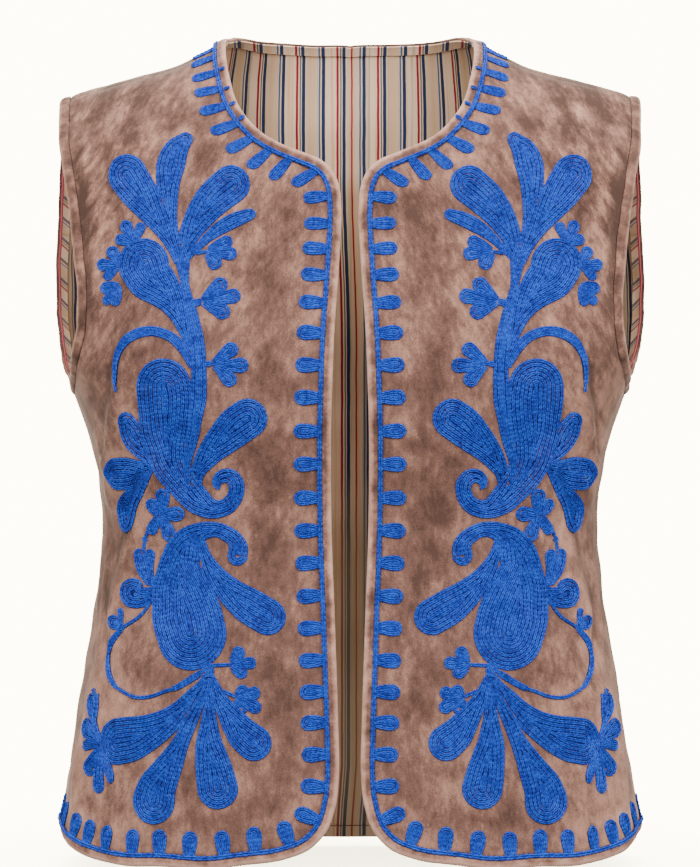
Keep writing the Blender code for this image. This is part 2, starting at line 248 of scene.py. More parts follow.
HEM_PLACES = (0.40, 0.55, 0.70, 0.85, 0.95, 1.0)
FRONT_FOLDS = (  # from one (across, height) to another, half-width, how far it stands out
    (0.46, -0.215, 0.74, -0.300, 0.020, 0.0045),
    (0.52, -0.290, 0.70, -0.380, 0.018, 0.0035),
    (0.74, -0.440, 0.76, -0.560, 0.020, 0.0030),
)
BACK_FOLDS = (
    (0.42, -0.210, 0.72, -0.300, 0.022, 0.0045),
    (0.25, -0.300, 0.60, -0.350, 0.020, 0.0035),
    (0.55, -0.440, 0.60, -0.560, 0.022, 0.0030),
)
# Creases: how far each stands out, its soft width towards the centre and its sharp one towards
# the side, and its run as (distance from centre, height).
FRONT_CREASES = (
    (0.0034, 0.013, 0.0034, ((0.143, -0.205), (0.151, -0.235), (0.157, -0.260), (0.162, -0.305))),
    (0.0028, 0.010, 0.0035, ((0.131, -0.285), (0.138, -0.312), (0.145, -0.336), (0.151, -0.362))),
    (0.0026, 0.010, 0.0050, ((0.176, -0.075), (0.170, -0.110), (0.166, -0.150), (0.163, -0.185))),
    (0.0022, 0.009, 0.0050, ((0.158, -0.060), (0.152, -0.085), (0.146, -0.110), (0.141, -0.130))),
    (0.0021, 0.008, 0.0035, ((0.150, -0.352), (0.155, -0.372), (0.157, -0.395), (0.156, -0.420))),
    (0.0018, 0.007, 0.0032, ((0.162, -0.345), (0.164, -0.368), (0.167, -0.395), (0.168, -0.425))),
    (0.0021, 0.009, 0.0040, ((0.174, -0.440), (0.178, -0.470), (0.181, -0.500), (0.184, -0.530))),
    (0.0015, 0.007, 0.0035, ((0.150, -0.470), (0.153, -0.495), (0.154, -0.520), (0.156, -0.545))),
    (0.0019, 0.008, 0.0040, ((0.172, -0.262), (0.166, -0.275), (0.158, -0.288), (0.148, -0.296))),
)
BACK_CREASES = (
    (0.0024, 0.013, 0.0035, ((0.135, -0.205), (0.146, -0.235), (0.154, -0.262), (0.160, -0.305))),
    (0.0018, 0.011, 0.0040, ((0.105, -0.270), (0.118, -0.300), (0.130, -0.325), (0.142, -0.345))),
    (0.0016, 0.012, 0.0060, ((0.178, -0.085), (0.176, -0.120), (0.172, -0.155), (0.168, -0.190))),
    (0.0014, 0.010, 0.0050, ((0.050, -0.290), (0.066, -0.305), (0.085, -0.312), (0.104, -0.318))),
    (0.0014, 0.010, 0.0045, ((0.146, -0.355), (0.152, -0.380), (0.155, -0.410), (0.154, -0.440))),
    (0.0015, 0.010, 0.0050, ((0.110, -0.430), (0.114, -0.465), (0.117, -0.500), (0.119, -0.540))),
    (0.0012, 0.009, 0.0045, ((0.060, -0.440), (0.062, -0.475), (0.065, -0.510), (0.066, -0.542))),
)
ACROSS_LENGTH = 0.24  # metres to one unit across, near enough for folds
SWELLS = ((0.00045, 0.060, 6), (0.00030, 0.034, 8), (0.00018, 0.021, 9))  # height, length, how many
VELVET_WALL = 0.0014
BAND_GAP = 0.0005
ARMHOLE_GAP = 0.0008
SEAM_GAP = 0.00015
SIDE_GAP = 0.0008
BAND_WIDTH = 0.008
INSIDE_BANDS = BAND_WIDTH + BAND_GAP
SEAM_DIP = 0.0005  # how far a cut edge is drawn down where it is sewn
ROWS = 152
ARMHOLE_ROWS = 65
SHOULDER_COLUMNS = 49
BACK_NECK_COLUMNS = 22
TURN_LENGTH = 0.04  # metres of line that one radian of turning counts for, to share out places
STEP = 1e-4
INSET_STEP = 0.003
UNDERCUT, UNDERCUT_SHARE = 2.2, 0.3  # a crease's dip beyond its sharp flank, by that flank's width
SHARP_EDGE = np.radians(50)
VELVET_LOOK = {
    "Roughness": 0.85,
    "Sheen_Weight": 0.45,
    "Sheen_Roughness": 0.40,
    "Sheen_Tint": (0.95, 0.72, 0.56, 1),
    "Specular_IOR_Level": 0.15,
}
# Noises as scale, detail, roughness and distortion.
PATCHES, BROAD_PATCHES, FOLD_STREAKS = (52.0, 5.0, 0.62, 0.15), (17.0, 2.0, 0.5), (82.0, 4.0, 0.75, 0.2)
STREAKS, PILE = (260.0, 3.0, 0.6), (1100.0, 2.0, 0.6)
FOLD_STREAK_SLANT, FOLD_STREAK_OUT = (0.85, 0.52), 0.3  # the fold streaks' slant, how far they are drawn out
VELVET_STOPS = (  # (nap, colour)
    (0.39, (0.070, 0.034, 0.025)), (0.52, (0.152, 0.075, 0.055)),
    (0.68, (0.360, 0.185, 0.130)), (0.82, (0.520, 0.300, 0.225)),
)
# Painted light and shade on the nap, as from where to where and from how much to how much: by
# height, by distance from the centre, and for the last by distance to the wearer's left. The fold
# streaks are crushed nap with painted fold light and shade; the rest is painted sheen, pale towards
# the sides below the arms, darker in the middle, and a little paler on the wearer's left.
FOLD_STREAKS_HIGH, FOLD_STREAKS_ASIDE = (-0.26, -0.12, 0.35, 1.0), (0.105, 0.150, 0.50, 0.95)
SIDE_SHEEN_BELOW, SIDE_SHEEN_ASIDE = (-0.17, -0.27, 0.0, 1.0), (0.118, 0.182, -0.035, 0.115)
LEFT_SIDE_SHEEN = (0.12, 0.17, 0.0, 0.03)


def smooth(table, at, column=1):
    """Smooth curve through one column of a table, by its rising first column."""
    rows = np.array(table)
    x, y = rows[:, 0], rows[:, column]
    slope = np.gradient(y, x)
    at = np.clip(at, x[0], x[-1])
    i = np.clip(np.searchsorted(x, at) - 1, 0, len(x) - 2)
    width = x[i + 1] - x[i]
    t = (at - x[i]) / width
    rise = y[i] * (1 + 2 * t) * (1 - t) ** 2 + y[i + 1] * t * t * (3 - 2 * t)
    return rise + width * (slope[i] * t * (1 - t) ** 2 - slope[i + 1] * t * t * (1 - t))


def ridge_height(across):
    return smooth(RIDGE, smooth(HALF_WIDTH, 0.0) * np.abs(np.sin(across * np.pi / 2)))


def form(across, down):
    """Points of the body form, without folds."""
    turn = np.pi / 2 * RIDGE_RISE
    below = np.where(
        np.abs(down) < turn,
        RIDGE_RISE * (1 - np.cos(down / RIDGE_RISE)),
        RIDGE_RISE + np.abs(down) - turn,
    )
    closing = np.sin(np.minimum(np.abs(down), turn) / RIDGE_RISE)
    z = ridge_height(across) - below
    angle = across * np.pi / 2
    depth = np.where(down > 0, -smooth(DEPTH, z, 1), smooth(DEPTH, z, 2))
    x = smooth(HALF_WIDTH, z) * np.sin(angle)
    y = depth * closing * np.cos(angle) * (1 + FULLNESS * np.sin(angle) ** 2)
    return np.stack([x, y, z], axis=-1)


def unit(vectors):
    return vectors / np.linalg.norm(vectors, axis=-1, keepdims=True)


def run_of(points):
    """How far along each point of a line lies, or of each line in a grid of points."""
    run = np.zeros(points.shape[:-1])
    run[..., 1:] = np.cumsum(np.linalg.norm(np.diff(points, axis=-2), axis=-1), axis=-1)
    return run


def across_at(distance, height, most=1.0):
    """How far across the form a distance from the centre is, at a height."""
    return 2 / np.pi * np.arcsin(np.minimum(distance / smooth(HALF_WIDTH, height), most))


def slopes(across, down):
    """The form's directions for one unit across and one unit down."""
    by_across = (form(across + STEP, down) - form(across - STEP, down)) / (2 * STEP)
    by_down = (form(across, down + STEP) - form(across, down - STEP)) / (2 * STEP)
    return by_across, by_down


def off_run(from_start, along):
    """The share of a straight run that each place lies beside, and the way from there to it."""
    share = np.clip(from_start @ along / (along @ along), 0, 1)
    return share, from_start - share[..., None] * along


def fold_height(across, height, front):
    """How far the largest folds stand out of the form at a place."""
    total = np.zeros_like(across)
    for folds, here in ((FRONT_FOLDS, front), (BACK_FOLDS, ~front)):
        for a0, z0, a1, z1, half_width, stand in folds:
            along = np.array([(a1 - a0) * ACROSS_LENGTH, z1 - z0])
            from_start = np.stack([(np.abs(across) - a0) * ACROSS_LENGTH, height - z0], axis=-1)
            away = np.linalg.norm(off_run(from_start, along)[1], axis=-1)
            total += here * stand * np.exp(-((away / half_width) ** 2))
    return total


def crease_height(across, height, front):
    """How far the small creases stand out: soft on one flank, sharp and undercut on the other."""
    total = np.zeros_like(across)
    here = np.stack([np.abs(across) * ACROSS_LENGTH, height], axis=-1)
    for creases, side in ((FRONT_CREASES, front), (BACK_CREASES, ~front)):
        for stand, soft, sharp, run in creases:
            run = np.array(run)
            run[:, 0] = across_at(*run.T) * ACROSS_LENGTH
            nearest = np.full(across.shape, 1.0)
            share = np.zeros_like(across)
            signed = np.zeros_like(across)
            for k, (start, end) in enumerate(zip(run, run[1:])):
                along = end - start
                t, off = off_run(here - start, along)
                away = np.linalg.norm(off, axis=-1)
                closer = away < nearest
                nearest = np.where(closer, away, nearest)
                share = np.where(closer, (k + t) / (len(run) - 1), share)
                out = along[0] * off[..., 1] - along[1] * off[..., 0]
                signed = np.where(closer, away * np.sign(out), signed)
            crest = np.exp(-((signed / np.where(signed < 0, soft, sharp)) ** 2))
            under = np.exp(-(((signed - UNDERCUT * sharp) / sharp) ** 2))
            ends = np.sin(np.pi * np.clip(share, 0.02, 0.98)) ** 0.7
            total += side * stand * ends * (crest - UNDERCUT_SHARE * under)
    return total


chance = np.random.default_rng(11)
SWELL_WAVES = [
    (
        height / count**0.5,
        np.array([np.cos(turn), np.sin(turn)]) * 2 * np.pi / (length * chance.uniform(0.75, 1.3)),
        chance.uniform(0, 2 * np.pi, 2),
    )
    for height, length, count in SWELLS
    for turn in chance.uniform(0, np.pi, count)
]


def swell_height(across, height, front):
    """The soft unevenness of worn velvet."""
    total = np.zeros_like(across)
    here = np.stack([across * ACROSS_LENGTH, height], axis=-1)
    for stand, waves, phases in SWELL_WAVES:
        total += stand * np.cos(here @ waves + np.where(front, *phases))
    return total


def surface(across, down, out=0.0):
    """Points on the form with its folds and creases, moved out along the form's normal."""
    across, down = np.asarray(across, float), np.asarray(down, float)
    by_across, by_down = slopes(across, down)
    normal = unit(np.cross(by_down, by_across))
    point = form(across, down)
    z, front = point[..., 2], down > 0
    lift = fold_height(across, z, front) + crease_height(across, z, front)
    lift = lift + swell_height(across, z, front) + out
    return point + normal * np.asarray(lift)[..., None]


def down_at(across, height):
    """How far down the form a height is reached."""
    below = np.maximum(ridge_height(across) - height, 0)
    turned = RIDGE_RISE * np.arccos(1 - np.minimum(below, RIDGE_RISE) / RIDGE_RISE)
    return turned + np.maximum(below - RIDGE_RISE, 0)


def place(across, height, front):
    """The place on the form at a height."""
    down = down_at(across, height)
    return np.array([across, down if front else -down])


def cut_line(table, front):
    """Places of a table of distances from the centre and heights."""
    return [place(across_at(distance, height), height, front) for distance, height in table]


def hem_place(across, front):
    rising = max(0.0, (abs(across) - HEM_RISE_FROM) / (1 - HEM_RISE_FROM))
    return place(across, HEM_Z + HEM_SIDE_RISE * rising**2 * (3 - 2 * rising), front)


def at_shoulder(distance, down):
    """The place at a distance from the centre on a line along the shoulder."""
    return np.array([across_at(distance, 0.0), down])


def read_at(at, run, columns):
    """Points of a line at distances along it, from its columns and how far its points lie along."""
    return np.stack([np.interp(at, run, column) for column in columns], axis=-1)


def stations(points, count):
    """Smooth curve through places, as places at even steps that are shorter where it turns."""
    points = np.array(points)
    at = run_of(form(*points.T))
    fine = np.linspace(0, at[-1], 40 * len(points))
    curve = [smooth(np.stack([at, points[:, k]], axis=-1), fine) for k in (0, 1)]
    runs = np.diff(form(*curve), axis=0)
    lengths = np.linalg.norm(runs, axis=1)
    turns = np.linalg.norm(np.gradient(runs / lengths[:, None], axis=0), axis=1)
    reached = np.concatenate([[0], np.cumsum(lengths + TURN_LENGTH * turns)])
    even = np.linspace(0, reached[-1], count + 1)
    return read_at(even, reached, curve)


def stepped(places, move):
    """Places moved along the cloth by a short vector."""
    by_across, by_down = slopes(*places.T)
    base = np.stack([by_across, by_down], axis=-1)
    change = np.einsum("nij,nj->ni", np.linalg.pinv(base), move)
    moved = np.linalg.norm(np.einsum("nij,nj->ni", base, change), axis=-1, keepdims=True)
    wanted = np.linalg.norm(move, axis=-1, keepdims=True)
    return places + change * wanted / np.maximum(moved, 1e-9)


def inward(line):
    """The direction into the cloth at each place of a line, to the left of the way it runs."""
    by_across, by_down = slopes(*line.T)
    return unit(np.cross(np.cross(by_down, by_across), np.gradient(form(*line.T), axis=0)))


def inset(line, distance):
    """A line of places moved in from the cut edge, to the left of the way it runs."""
    steps = max(1, round(abs(distance) / INSET_STEP))
    for _ in range(steps if distance else 0):
        line = stepped(line, inward(line) * distance / steps)
    return line


def front_edge(count=ROWS + SHOULDER_COLUMNS):
    """Neck, front edge, corner and hem as places, from shoulder seam to side seam."""
    cut = cut_line(NECK_AND_FRONT_EDGE, True)
    hem = [hem_place(across, True) for across in HEM_PLACES]
    return stations([at_shoulder(NECK_AT_SEAM, SEAM_FORWARD), *cut, *hem], count)


def armhole(distance, count=ARMHOLE_ROWS):
    """Both halves of the armhole moved into the cloth, meeting at the seams."""
    halves = []
    for cut, front in ((FRONT_ARMHOLE, True), (BACK_ARMHOLE, False)):
        downs = (SEAM_FORWARD,) if front else (SEAM_FORWARD, 0.0)
        tip = [at_shoulder(SHOULDER_TIP, down) for down in downs]
        line = [*tip, *cut_line(cut, front), place(1.0, UNDERARM_Z, front)]
        halves.append(inset(stations(line, count), -distance if front else distance))
    front, back = halves
    tip = (front[0, 0] + back[0, 0]) / 2
    low = (front[-1, 1] - back[-1, 1]) / 2
    front[0] = back[0] = (tip, SEAM_FORWARD)
    front[-1], back[-1] = (1, low), (1, -low)
    return front, back


def back_neck(count=BACK_NECK_COLUMNS):
    """The back neck edge as places, from the shoulder seam to the centre of the back."""
    cut = cut_line(BACK_NECK_EDGE, False)
    line = [at_shoulder(NECK_AT_SEAM, SEAM_FORWARD), at_shoulder(NECK_AT_RIDGE, 0.0), *cut]
    return stations(line, count)


def back_hem(count=SHOULDER_COLUMNS + BACK_NECK_COLUMNS):
    """The back hem as places, from the centre to the side seam."""
    return np.array([hem_place(a, False) for a in np.linspace(0, 1, count + 1)])


def held_at_seams(line, down=None, across=None):
    """A line whose first place lies on the shoulder seam and whose last on the side seam."""
    line = line.copy()
    if down is not None:
        line[0, 1] = down
    if across is not None:
        line[-1, 0] = across
    return line


def patch(top, bottom, left, right):
    """Places inside four edges, blended from them."""
    a = np.linspace(0, 1, len(top))[None, :, None]
    b = np.linspace(0, 1, len(left))[:, None, None]
    sides = (1 - a) * left[:, None] + a * right[:, None]
    ends = (1 - b) * top[None] + b * bottom[None]
    upper = (1 - a) * top[0] + a * top[-1]
    lower = (1 - a) * bottom[0] + a * bottom[-1]
    return sides + ends - (1 - b) * upper - b * lower


def mirrored(places):
    return places * (-1, 1)


def both_sides(line):
    """A line from the centre to the +X side, with its mirror image before it."""
    return np.concatenate([mirrored(line[:0:-1]), line])


def side_edge(seam, half, hem_end):
    """A panel's side from the shoulder down: half of the armhole, then the side seam."""
    sleeve = held_at_seams(armhole(BAND_WIDTH + ARMHOLE_GAP)[half], seam, 1 - SIDE_GAP)
    side = np.linspace(sleeve[-1], hem_end, ROWS - ARMHOLE_ROWS + 1)
    return np.concatenate([sleeve, side[1:]])


def front_places():
    """The left front inside its bands, rows from the shoulder down, columns towards the side."""
    seam = SEAM_FORWARD + SEAM_GAP
    edge = held_at_seams(inset(front_edge(), INSIDE_BANDS), seam, 1 - SIDE_GAP)
    left, bottom = edge[: ROWS + 1], edge[ROWS:]
    right = side_edge(seam, 0, bottom[-1])
    top = np.linspace(left[0], right[0], SHOULDER_COLUMNS + 1)
    return patch(top, bottom, left, right)


def back_places():
    """The back inside its bands, rows from the shoulder down, columns from -X to +X."""
    seam = SEAM_FORWARD - SEAM_GAP
    neck = held_at_seams(inset(back_neck(), -INSIDE_BANDS), seam, 0.0)
    hem = held_at_seams(inset(back_hem(), -INSIDE_BANDS), None, 1 - SIDE_GAP)
    hem[0, 0] = 0.0
    right = side_edge(seam, 1, hem[-1])
    shoulder = np.linspace(neck[0], right[0], SHOULDER_COLUMNS + 1)
    top = np.concatenate([neck[::-1], shoulder[1:]])
    return patch(both_sides(top), both_sides(hem), mirrored(right), right)


def add_piece(name, points, faces, material, marks=None, under=None):
    """A mesh that rides on the body. Faces is a list of arrays of quads or triangles.

    Under is a second material and, for each array, which of its faces have it.
    """
    points = np.asarray(points, float).reshape(-1, 3)
    faces = [np.asarray(group, int) for group in faces]
    corners = np.concatenate([group.ravel() for group in faces])
    sizes = np.concatenate([np.full(len(group), group.shape[1]) for group in faces])
    mesh = bpy.data.meshes.new(name)
    mesh.vertices.add(len(points))
    mesh.vertices.foreach_set("co", points.ravel())
    mesh.loops.add(len(corners))
    mesh.loops.foreach_set("vertex_index", corners)
    mesh.polygons.add(len(sizes))
    mesh.polygons.foreach_set("loop_start", np.concatenate([[0], np.cumsum(sizes)[:-1]]))
    if marks is not None:
        layer = mesh.uv_layers.new(name="cloth")
        layer.data.foreach_set("uv", np.asarray(marks).reshape(-1, 2)[corners].ravel())
    mesh.update(calc_edges=True)
    mesh.shade_smooth()
    mesh.set_sharp_from_angle(angle=SHARP_EDGE)
    mesh.materials.append(material)
    if under:
        mesh.materials.append(under[0])
        mesh.polygons.foreach_set("material_index", np.concatenate(under[1]).astype(int))
    piece = bpy.data.objects.new(name, mesh)
    bpy.context.collection.objects.link(piece)
    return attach(piece, "root")


def wall_faces(rows, columns, ring):
    """Quads of a grid of points that is closed round its columns, and round its rows if a ring."""
    r = np.arange(rows if ring else rows - 1)[:, None]
    k = np.arange(columns)[None, :]
    here, below, beside = r * columns, (r + 1) % rows * columns, (k + 1) % columns
    return np.stack([here + k, here + beside, below + beside, below + k], axis=-1).reshape(-1, 4)


def end_caps(rows, columns):
    """Quads that close the first and last row of a flat wall, whose columns run out and back."""
    k = np.arange(columns // 2 - 1)
    cap = np.stack([k + 1, k, columns - 1 - k, columns - 2 - k], axis=-1)
    return np.concatenate([cap, cap[:, ::-1] + (rows - 1) * columns])


def add_wall(name, grid, marks, material, node, ring=False, turned=False):
    """A closed wall of cloth for a node, from a grid of points whose columns run out and back."""
    rows, columns = grid.shape[:2]
    faces = [wall_faces(rows, columns, ring)]
    if not ring:
        faces.append(end_caps(rows, columns))
    if turned:
        faces = [group[:, ::-1] for group in faces]
    piece = add_piece(name, grid, faces, material, marks=marks)
    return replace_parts(piece, node)


def out_and_back(outer, inner):
    return np.concatenate([outer, inner[:, ::-1]], axis=1)


def add_panel(name, places, out, wall, material, node, marks=None, turned=False):
    """A cut panel of cloth as a thin wall, its outer face moved out from the form."""
    across, down = places[..., 0], places[..., 1]
    grid = out_and_back(surface(across, down, out), surface(across, down, out - wall))
    marks = None if marks is None else out_and_back(marks, marks)
    return add_wall(name, grid, marks, material, node, turned=turned)


def drawn_down(places):
    """How far each place of a panel lies out, with its sewn edges drawn down."""
    out = np.zeros(places.shape[:2])
    for depth, share in ((0, 1.0), (1, 0.35)):
        out[[depth, -1 - depth], depth : -1 - depth or None] = -SEAM_DIP * share
        out[depth : -1 - depth or None, [depth, -1 - depth]] = -SEAM_DIP * share
    return out


velvet, dye, shader = new_finish("taupe_velvet", **VELVET_LOOK)
at = dye.node("ShaderNodeTexCoord", take=3)
to_left, height = dye.part(at, 0), dye.part(at, 2)
aside = abs(to_left)
patches = dye.noise(dye.stretched(at, (1.0, 1.0, 0.8)), *PATCHES)
broad = dye.noise(at, *BROAD_PATCHES)
streaks = dye.noise(dye.stretched(at, (1.0, 1.0, 0.45)), *STREAKS)
pile = dye.noise(at, *PILE)
nap_and_light = patches * 0.46 + broad * 0.20 + streaks * 0.25 + pile * 0.22 - 0.045
# Painted highlight and shade beside the stitching and on the creases, written into each panel's
# cloth marks.
nap_and_light = nap_and_light + dye.part(dye.node("ShaderNodeUVMap", uv_map="cloth"), 0)
# Streaks of crushed nap that are also painted light and shade of folds, high up and towards the
# armholes.
a, b = FOLD_STREAK_SLANT
slanted = {0: aside * a + height * b, 1: (aside * b - height * a) * FOLD_STREAK_OUT}
fold_streaks = dye.noise(dye.node("ShaderNodeCombineXYZ", slanted), *FOLD_STREAKS)
nap_and_light = nap_and_light + (fold_streaks - 0.53) * dye.ramp(height, *FOLD_STREAKS_HIGH) * dye.ramp(aside, *FOLD_STREAKS_ASIDE)
# Painted sheen below the arms: paler towards the sides than in the middle, and a little more on the
# wearer's left.
low = dye.ramp(height, *SIDE_SHEEN_BELOW)
nap_and_light = nap_and_light + dye.ramp(aside, *SIDE_SHEEN_ASIDE) * low + dye.ramp(to_left, *LEFT_SIDE_SHEEN) * low
# The nap's own tone and the painted light and shade together pick the velvet's colour.
colour = dye.node("ShaderNodeValToRGB", {0: nap_and_light}, stops=VELVET_STOPS)
relief = patches * 0.9 + streaks * 0.5 + pile * 0.35
feed(shader, Base_Color=colour, Normal=dye.bump(0.35, 0.0012, relief))

left_front = front_places()
shapes = {
    "front_left": left_front,
    "front_right": mirrored(left_front),
    "back": back_places()[:, ::2],
}
cut_pieces = {}
for node, shaped in shapes.items():
    piece = add_panel(
        f"velvet_{node}", shaped, drawn_down(shaped), VELVET_WALL, velvet, node,
        turned=node == "front_right",
    )
    cut_pieces[node] = piece

# The bands: straight strips of the same velvet folded over the raw edges of the neck, fronts, hem
# and armholes, 8 mm wide, puffed by the seam allowance inside and a little puckered.
BAND_SECTION = (  # (distance from the cut edge, out from the form), round the folded strip
    (0.0080, -0.0006), (0.0078, -0.0001), (0.0068, 0.0004), (0.0052, 0.0007), (0.0036, 0.0008),
    (0.0020, 0.0005), (0.0008, -0.0002), (0.0002, -0.0009), (0.0000, -0.0015), (0.0005, -0.0023),
    (0.0015, -0.0027), (0.0035, -0.0027), (0.0060, -0.0027), (0.0080, -0.0027), (0.0080, -0.0019),
    (0.0035, -0.0019), (0.0014, -0.0018), (0.0010, -0.0009), (0.0036, -0.0001), (0.0080, -0.0012),
)
PUCKER = 0.0006
PUCKER_LENGTHS = (0.0085, 0.0130, 0.0056)
BAND_PATCHES = (95.0, 4.0, 0.6)
# Painted sheen with some wear along the bands' folded edges, less of it behind, and painted light
# on the hem band, where the lamps above hardly reach:
EDGE_SHEEN_AND_WEAR = (0.0, 0.0036, 0.34, 0.0)  # how much paler, by distance from the cut edge
SHEEN_AND_WEAR_BEHIND = (0.0, 0.03, 1.0, -0.3)  # the share of that, by distance to the back
HEM_PAINTED_LIGHT = (-0.48, -0.53, 0.0, 0.12)  # how much paler, by height
FRONT_STATIONS, ARMHOLE_STATIONS, NECK_STATIONS, HEM_STATIONS = 330, 110, 44, 110


def front_line(distance):
    """The left front's edge moved into the cloth, from shoulder seam to side seam."""
    line = inset(front_edge(FRONT_STATIONS), distance)
    return held_at_seams(line, SEAM_FORWARD + SEAM_GAP, 1 - SIDE_GAP)


def neck_line(distance):
    """The back's neck edge moved into the cloth, from the -X shoulder seam to the +X one."""
    line = held_at_seams(inset(back_neck(NECK_STATIONS), -distance), SEAM_FORWARD - SEAM_GAP, 0.0)
    return both_sides(line[::-1])


def hem_line(distance):
    """The back's hem moved into the cloth, from side seam to side seam."""
    line = inset(back_hem(HEM_STATIONS), -distance)
    line[0, 0] = 0.0
    return both_sides(held_at_seams(line, None, 1 - SIDE_GAP))


def armhole_line(distance):
    """The +X armhole's whole edge moved into the cloth, a closed line without its last place."""
    front, back = armhole(distance, ARMHOLE_STATIONS)
    return np.concatenate([front, back[-2:0:-1]])


def along(line):
    """How far along each place of a line lies."""
    return run_of(form(*line.T))


def puckered(distances, reach):
    """How far a gathered strip stands out, by the distance along it and the share across it."""
    total = np.zeros_like(distances)
    for k, length in enumerate(PUCKER_LENGTHS):
        total += np.cos(2 * np.pi * distances / length + 1.3 * k + 2 * np.sin(distances * 37 + k))
    return PUCKER * total / len(PUCKER_LENGTHS) * np.sin(np.pi * np.clip(reach, 0, 1))


def add_strip(name, line_at, section, material, node, ring=False, turned=False, pucker=True):
    """A strip of cloth laid along an edge, from its section as (distance in, out)."""
    lines = {distance: line_at(distance) for distance in sorted({d for d, _ in section})}
    run = along(lines[min(lines)])
    grid, marks = [], []
    for distance, out in section:
        line = lines[distance]
        reach = distance / BAND_WIDTH
        lift = out + (puckered(run, reach) if pucker else 0.0)
        if turned:
            line = mirrored(line)
        grid.append(surface(line[:, 0], line[:, 1], lift))
        marks.append(np.stack([run, np.full_like(run, distance)], axis=-1))
    grid, marks = np.stack(grid, axis=1), np.stack(marks, axis=1)
    return add_wall(name, grid, marks, material, node, ring, turned)


band_velvet, dye, shader = new_finish("taupe_velvet_band", **VELVET_LOOK)
at = dye.node("ShaderNodeTexCoord", take=3)
patches, pile = dye.noise(at, *BAND_PATCHES), dye.noise(at, *PILE)
from_edge = dye.part(dye.node("ShaderNodeUVMap", uv_map="cloth"), 1)
# Painted sheen with some wear along the folded edge, less behind, and painted light low on the hem
# band.
tone_shift = dye.ramp(from_edge, *EDGE_SHEEN_AND_WEAR) * dye.ramp(dye.part(at, 1), *SHEEN_AND_WEAR_BEHIND)
tone_shift = tone_shift + dye.ramp(dye.part(at, 2), *HEM_PAINTED_LIGHT)
nap_and_light = patches * 0.72 + pile * 0.18 + 0.07 + tone_shift
colour = dye.node("ShaderNodeValToRGB", {0: nap_and_light}, stops=VELVET_STOPS)
feed(shader, Base_Color=colour, Normal=dye.bump(0.35, 0.0008, patches + pile * 0.3))

SIDES = (("left", False), ("right", True))  # whether each is turned over from the left one
for side, turned in SIDES:
    for name, line_at, ring in (("front", front_line, False), ("armhole", armhole_line, True)):
        node = f"band_{name}_{side}"
        piece = add_strip(f"velvet_{node}", line_at, BAND_SECTION, band_velvet, node, ring, turned)
        cut_pieces[node] = piece
for name, line_at in (("neck", neck_line), ("hem", hem_line)):
    node = f"band_back_{name}"
    piece = add_strip(f"velvet_{node}", line_at, BAND_SECTION, band_velvet, node)
    cut_pieces[node] = piece

# The lining: striped cotton, cream and sand with peach streaks and narrow red, grey, navy and blue
# stripes down its length, cut to the same shapes as the velvet and held by the bands.
LINING_WALL = 0.0010
CLEARANCE = 0.0003
LINING_DEPTH = VELVET_WALL + CLEARANCE  # from the velvet's outer face
STRIPE_REPEAT = 0.0283
EDGE_STRIPES = (-0.1944, 0.2138)  # where in the stripes the armholes' sides are cut
STRIPE_START = -0.0087  # a red stripe's distance from the centre back
STRIPES = (  # (middle, width, colour) of each stripe in one repeat
    (0.0000, 0.0015, (0.34, 0.012, 0.035)),
    (0.0022, 0.0009, (0.10, 0.14, 0.13)),
    (0.0045, 0.0023, (0.022, 0.035, 0.088)),
    (0.0157, 0.0012, (0.075, 0.125, 0.215)),
    (0.0184, 0.0023, (0.022, 0.037, 0.095)),
)
SAND_GROUND = (0.0105, 0.0038)  # the middle and half-width of the sand ground in each repeat
SEAM_RED = (0.0013, 0.0011)  # a red stripe beside the centre back: its middle and width
BIAS_SLANT = 0.5  # how far the armhole facings' cross stripes lean
EDGE_RED = (0.50, 0.085, 0.105)
EDGE_RED_ENDS = (0.0019, 0.0021)  # from the cut edge
SOFT_EDGE = (0.0001, 0.0002)  # how far a stripe's colour fades inside and outside its edge
WOVEN_IN = 0.00005  # how far the stripes lie off their middles
WARP, WARP_PLAY = (60.0, 2.0), 0.0007
DRAWN_OUT = (1.0, 0.012, 1.0)  # the threads and slubs, down the cloth
THREADS, SLUBS, WEAVE = (420.0, 3.0, 0.7), (130.0, 2.0, 0.5), (2600.0, 1.0)
STRIPE_BENDS = ((-0.085, -0.20, -0.0031), (-0.49, -0.545, 0.0031))  # from height to height, by
# Painted shade inside the waistcoat, as from where to where and from how much to how much.
PAINTED_SHADE_BELOW_NECK, PAINTED_SHADE_EASED_LOW = (-0.082, -0.100, 0.0, 0.90), (-0.16, -0.30, 0.0, 0.90)  # by height
PAINTED_SHADE_ASIDE = (0.045, 0.085, 0.0, 0.75)
PAINTED_SHADE_TINT = (0.62, 0.60, 0.54)
# Painted light on the lining low in the gap between the fronts, where little light reaches it:
PAINTED_LIGHT_Z = -0.43  # the height where the stripes are palest
PAINTED_LIGHT_REACH = (0.07, 0.14, 0.22, 0.0)  # by distance from there
PAINTED_LIGHT_TINT = (0.98, 0.86, 0.56)
CLOTH_CREAM = (0.96, 0.67, 0.46)
CLOTH_SAND = (0.52, 0.37, 0.235)
CLOTH_PEACH = (0.84, 0.45, 0.20)
GROUND_STOPS = ((0.38, CLOTH_PEACH), (0.46, CLOTH_CREAM), (0.53, CLOTH_CREAM), (0.62, CLOTH_SAND))
PEACH_HALF = 0.0016
THREAD_GREY = (0.55, 0.55, 0.55)
# Where the back's stripes lean to its side stripes: over which height, and over which shares of
# the way to the side.
LEAN_Z, LEAN_HEIGHT, LEAN_FROM, LEAN_SPAN = -0.36, 0.10, 0.5, 0.4


def striped(dye, colour, away, width, tint, share=1.0):
    """A colour crossed by a stripe, from the distance to the stripe's middle."""
    inside, outside = SOFT_EDGE
    cover = dye.ramp(away, width / 2 - inside, width / 2 + outside, share, 0.0)
    return dye.mixed(cover, colour, tint)


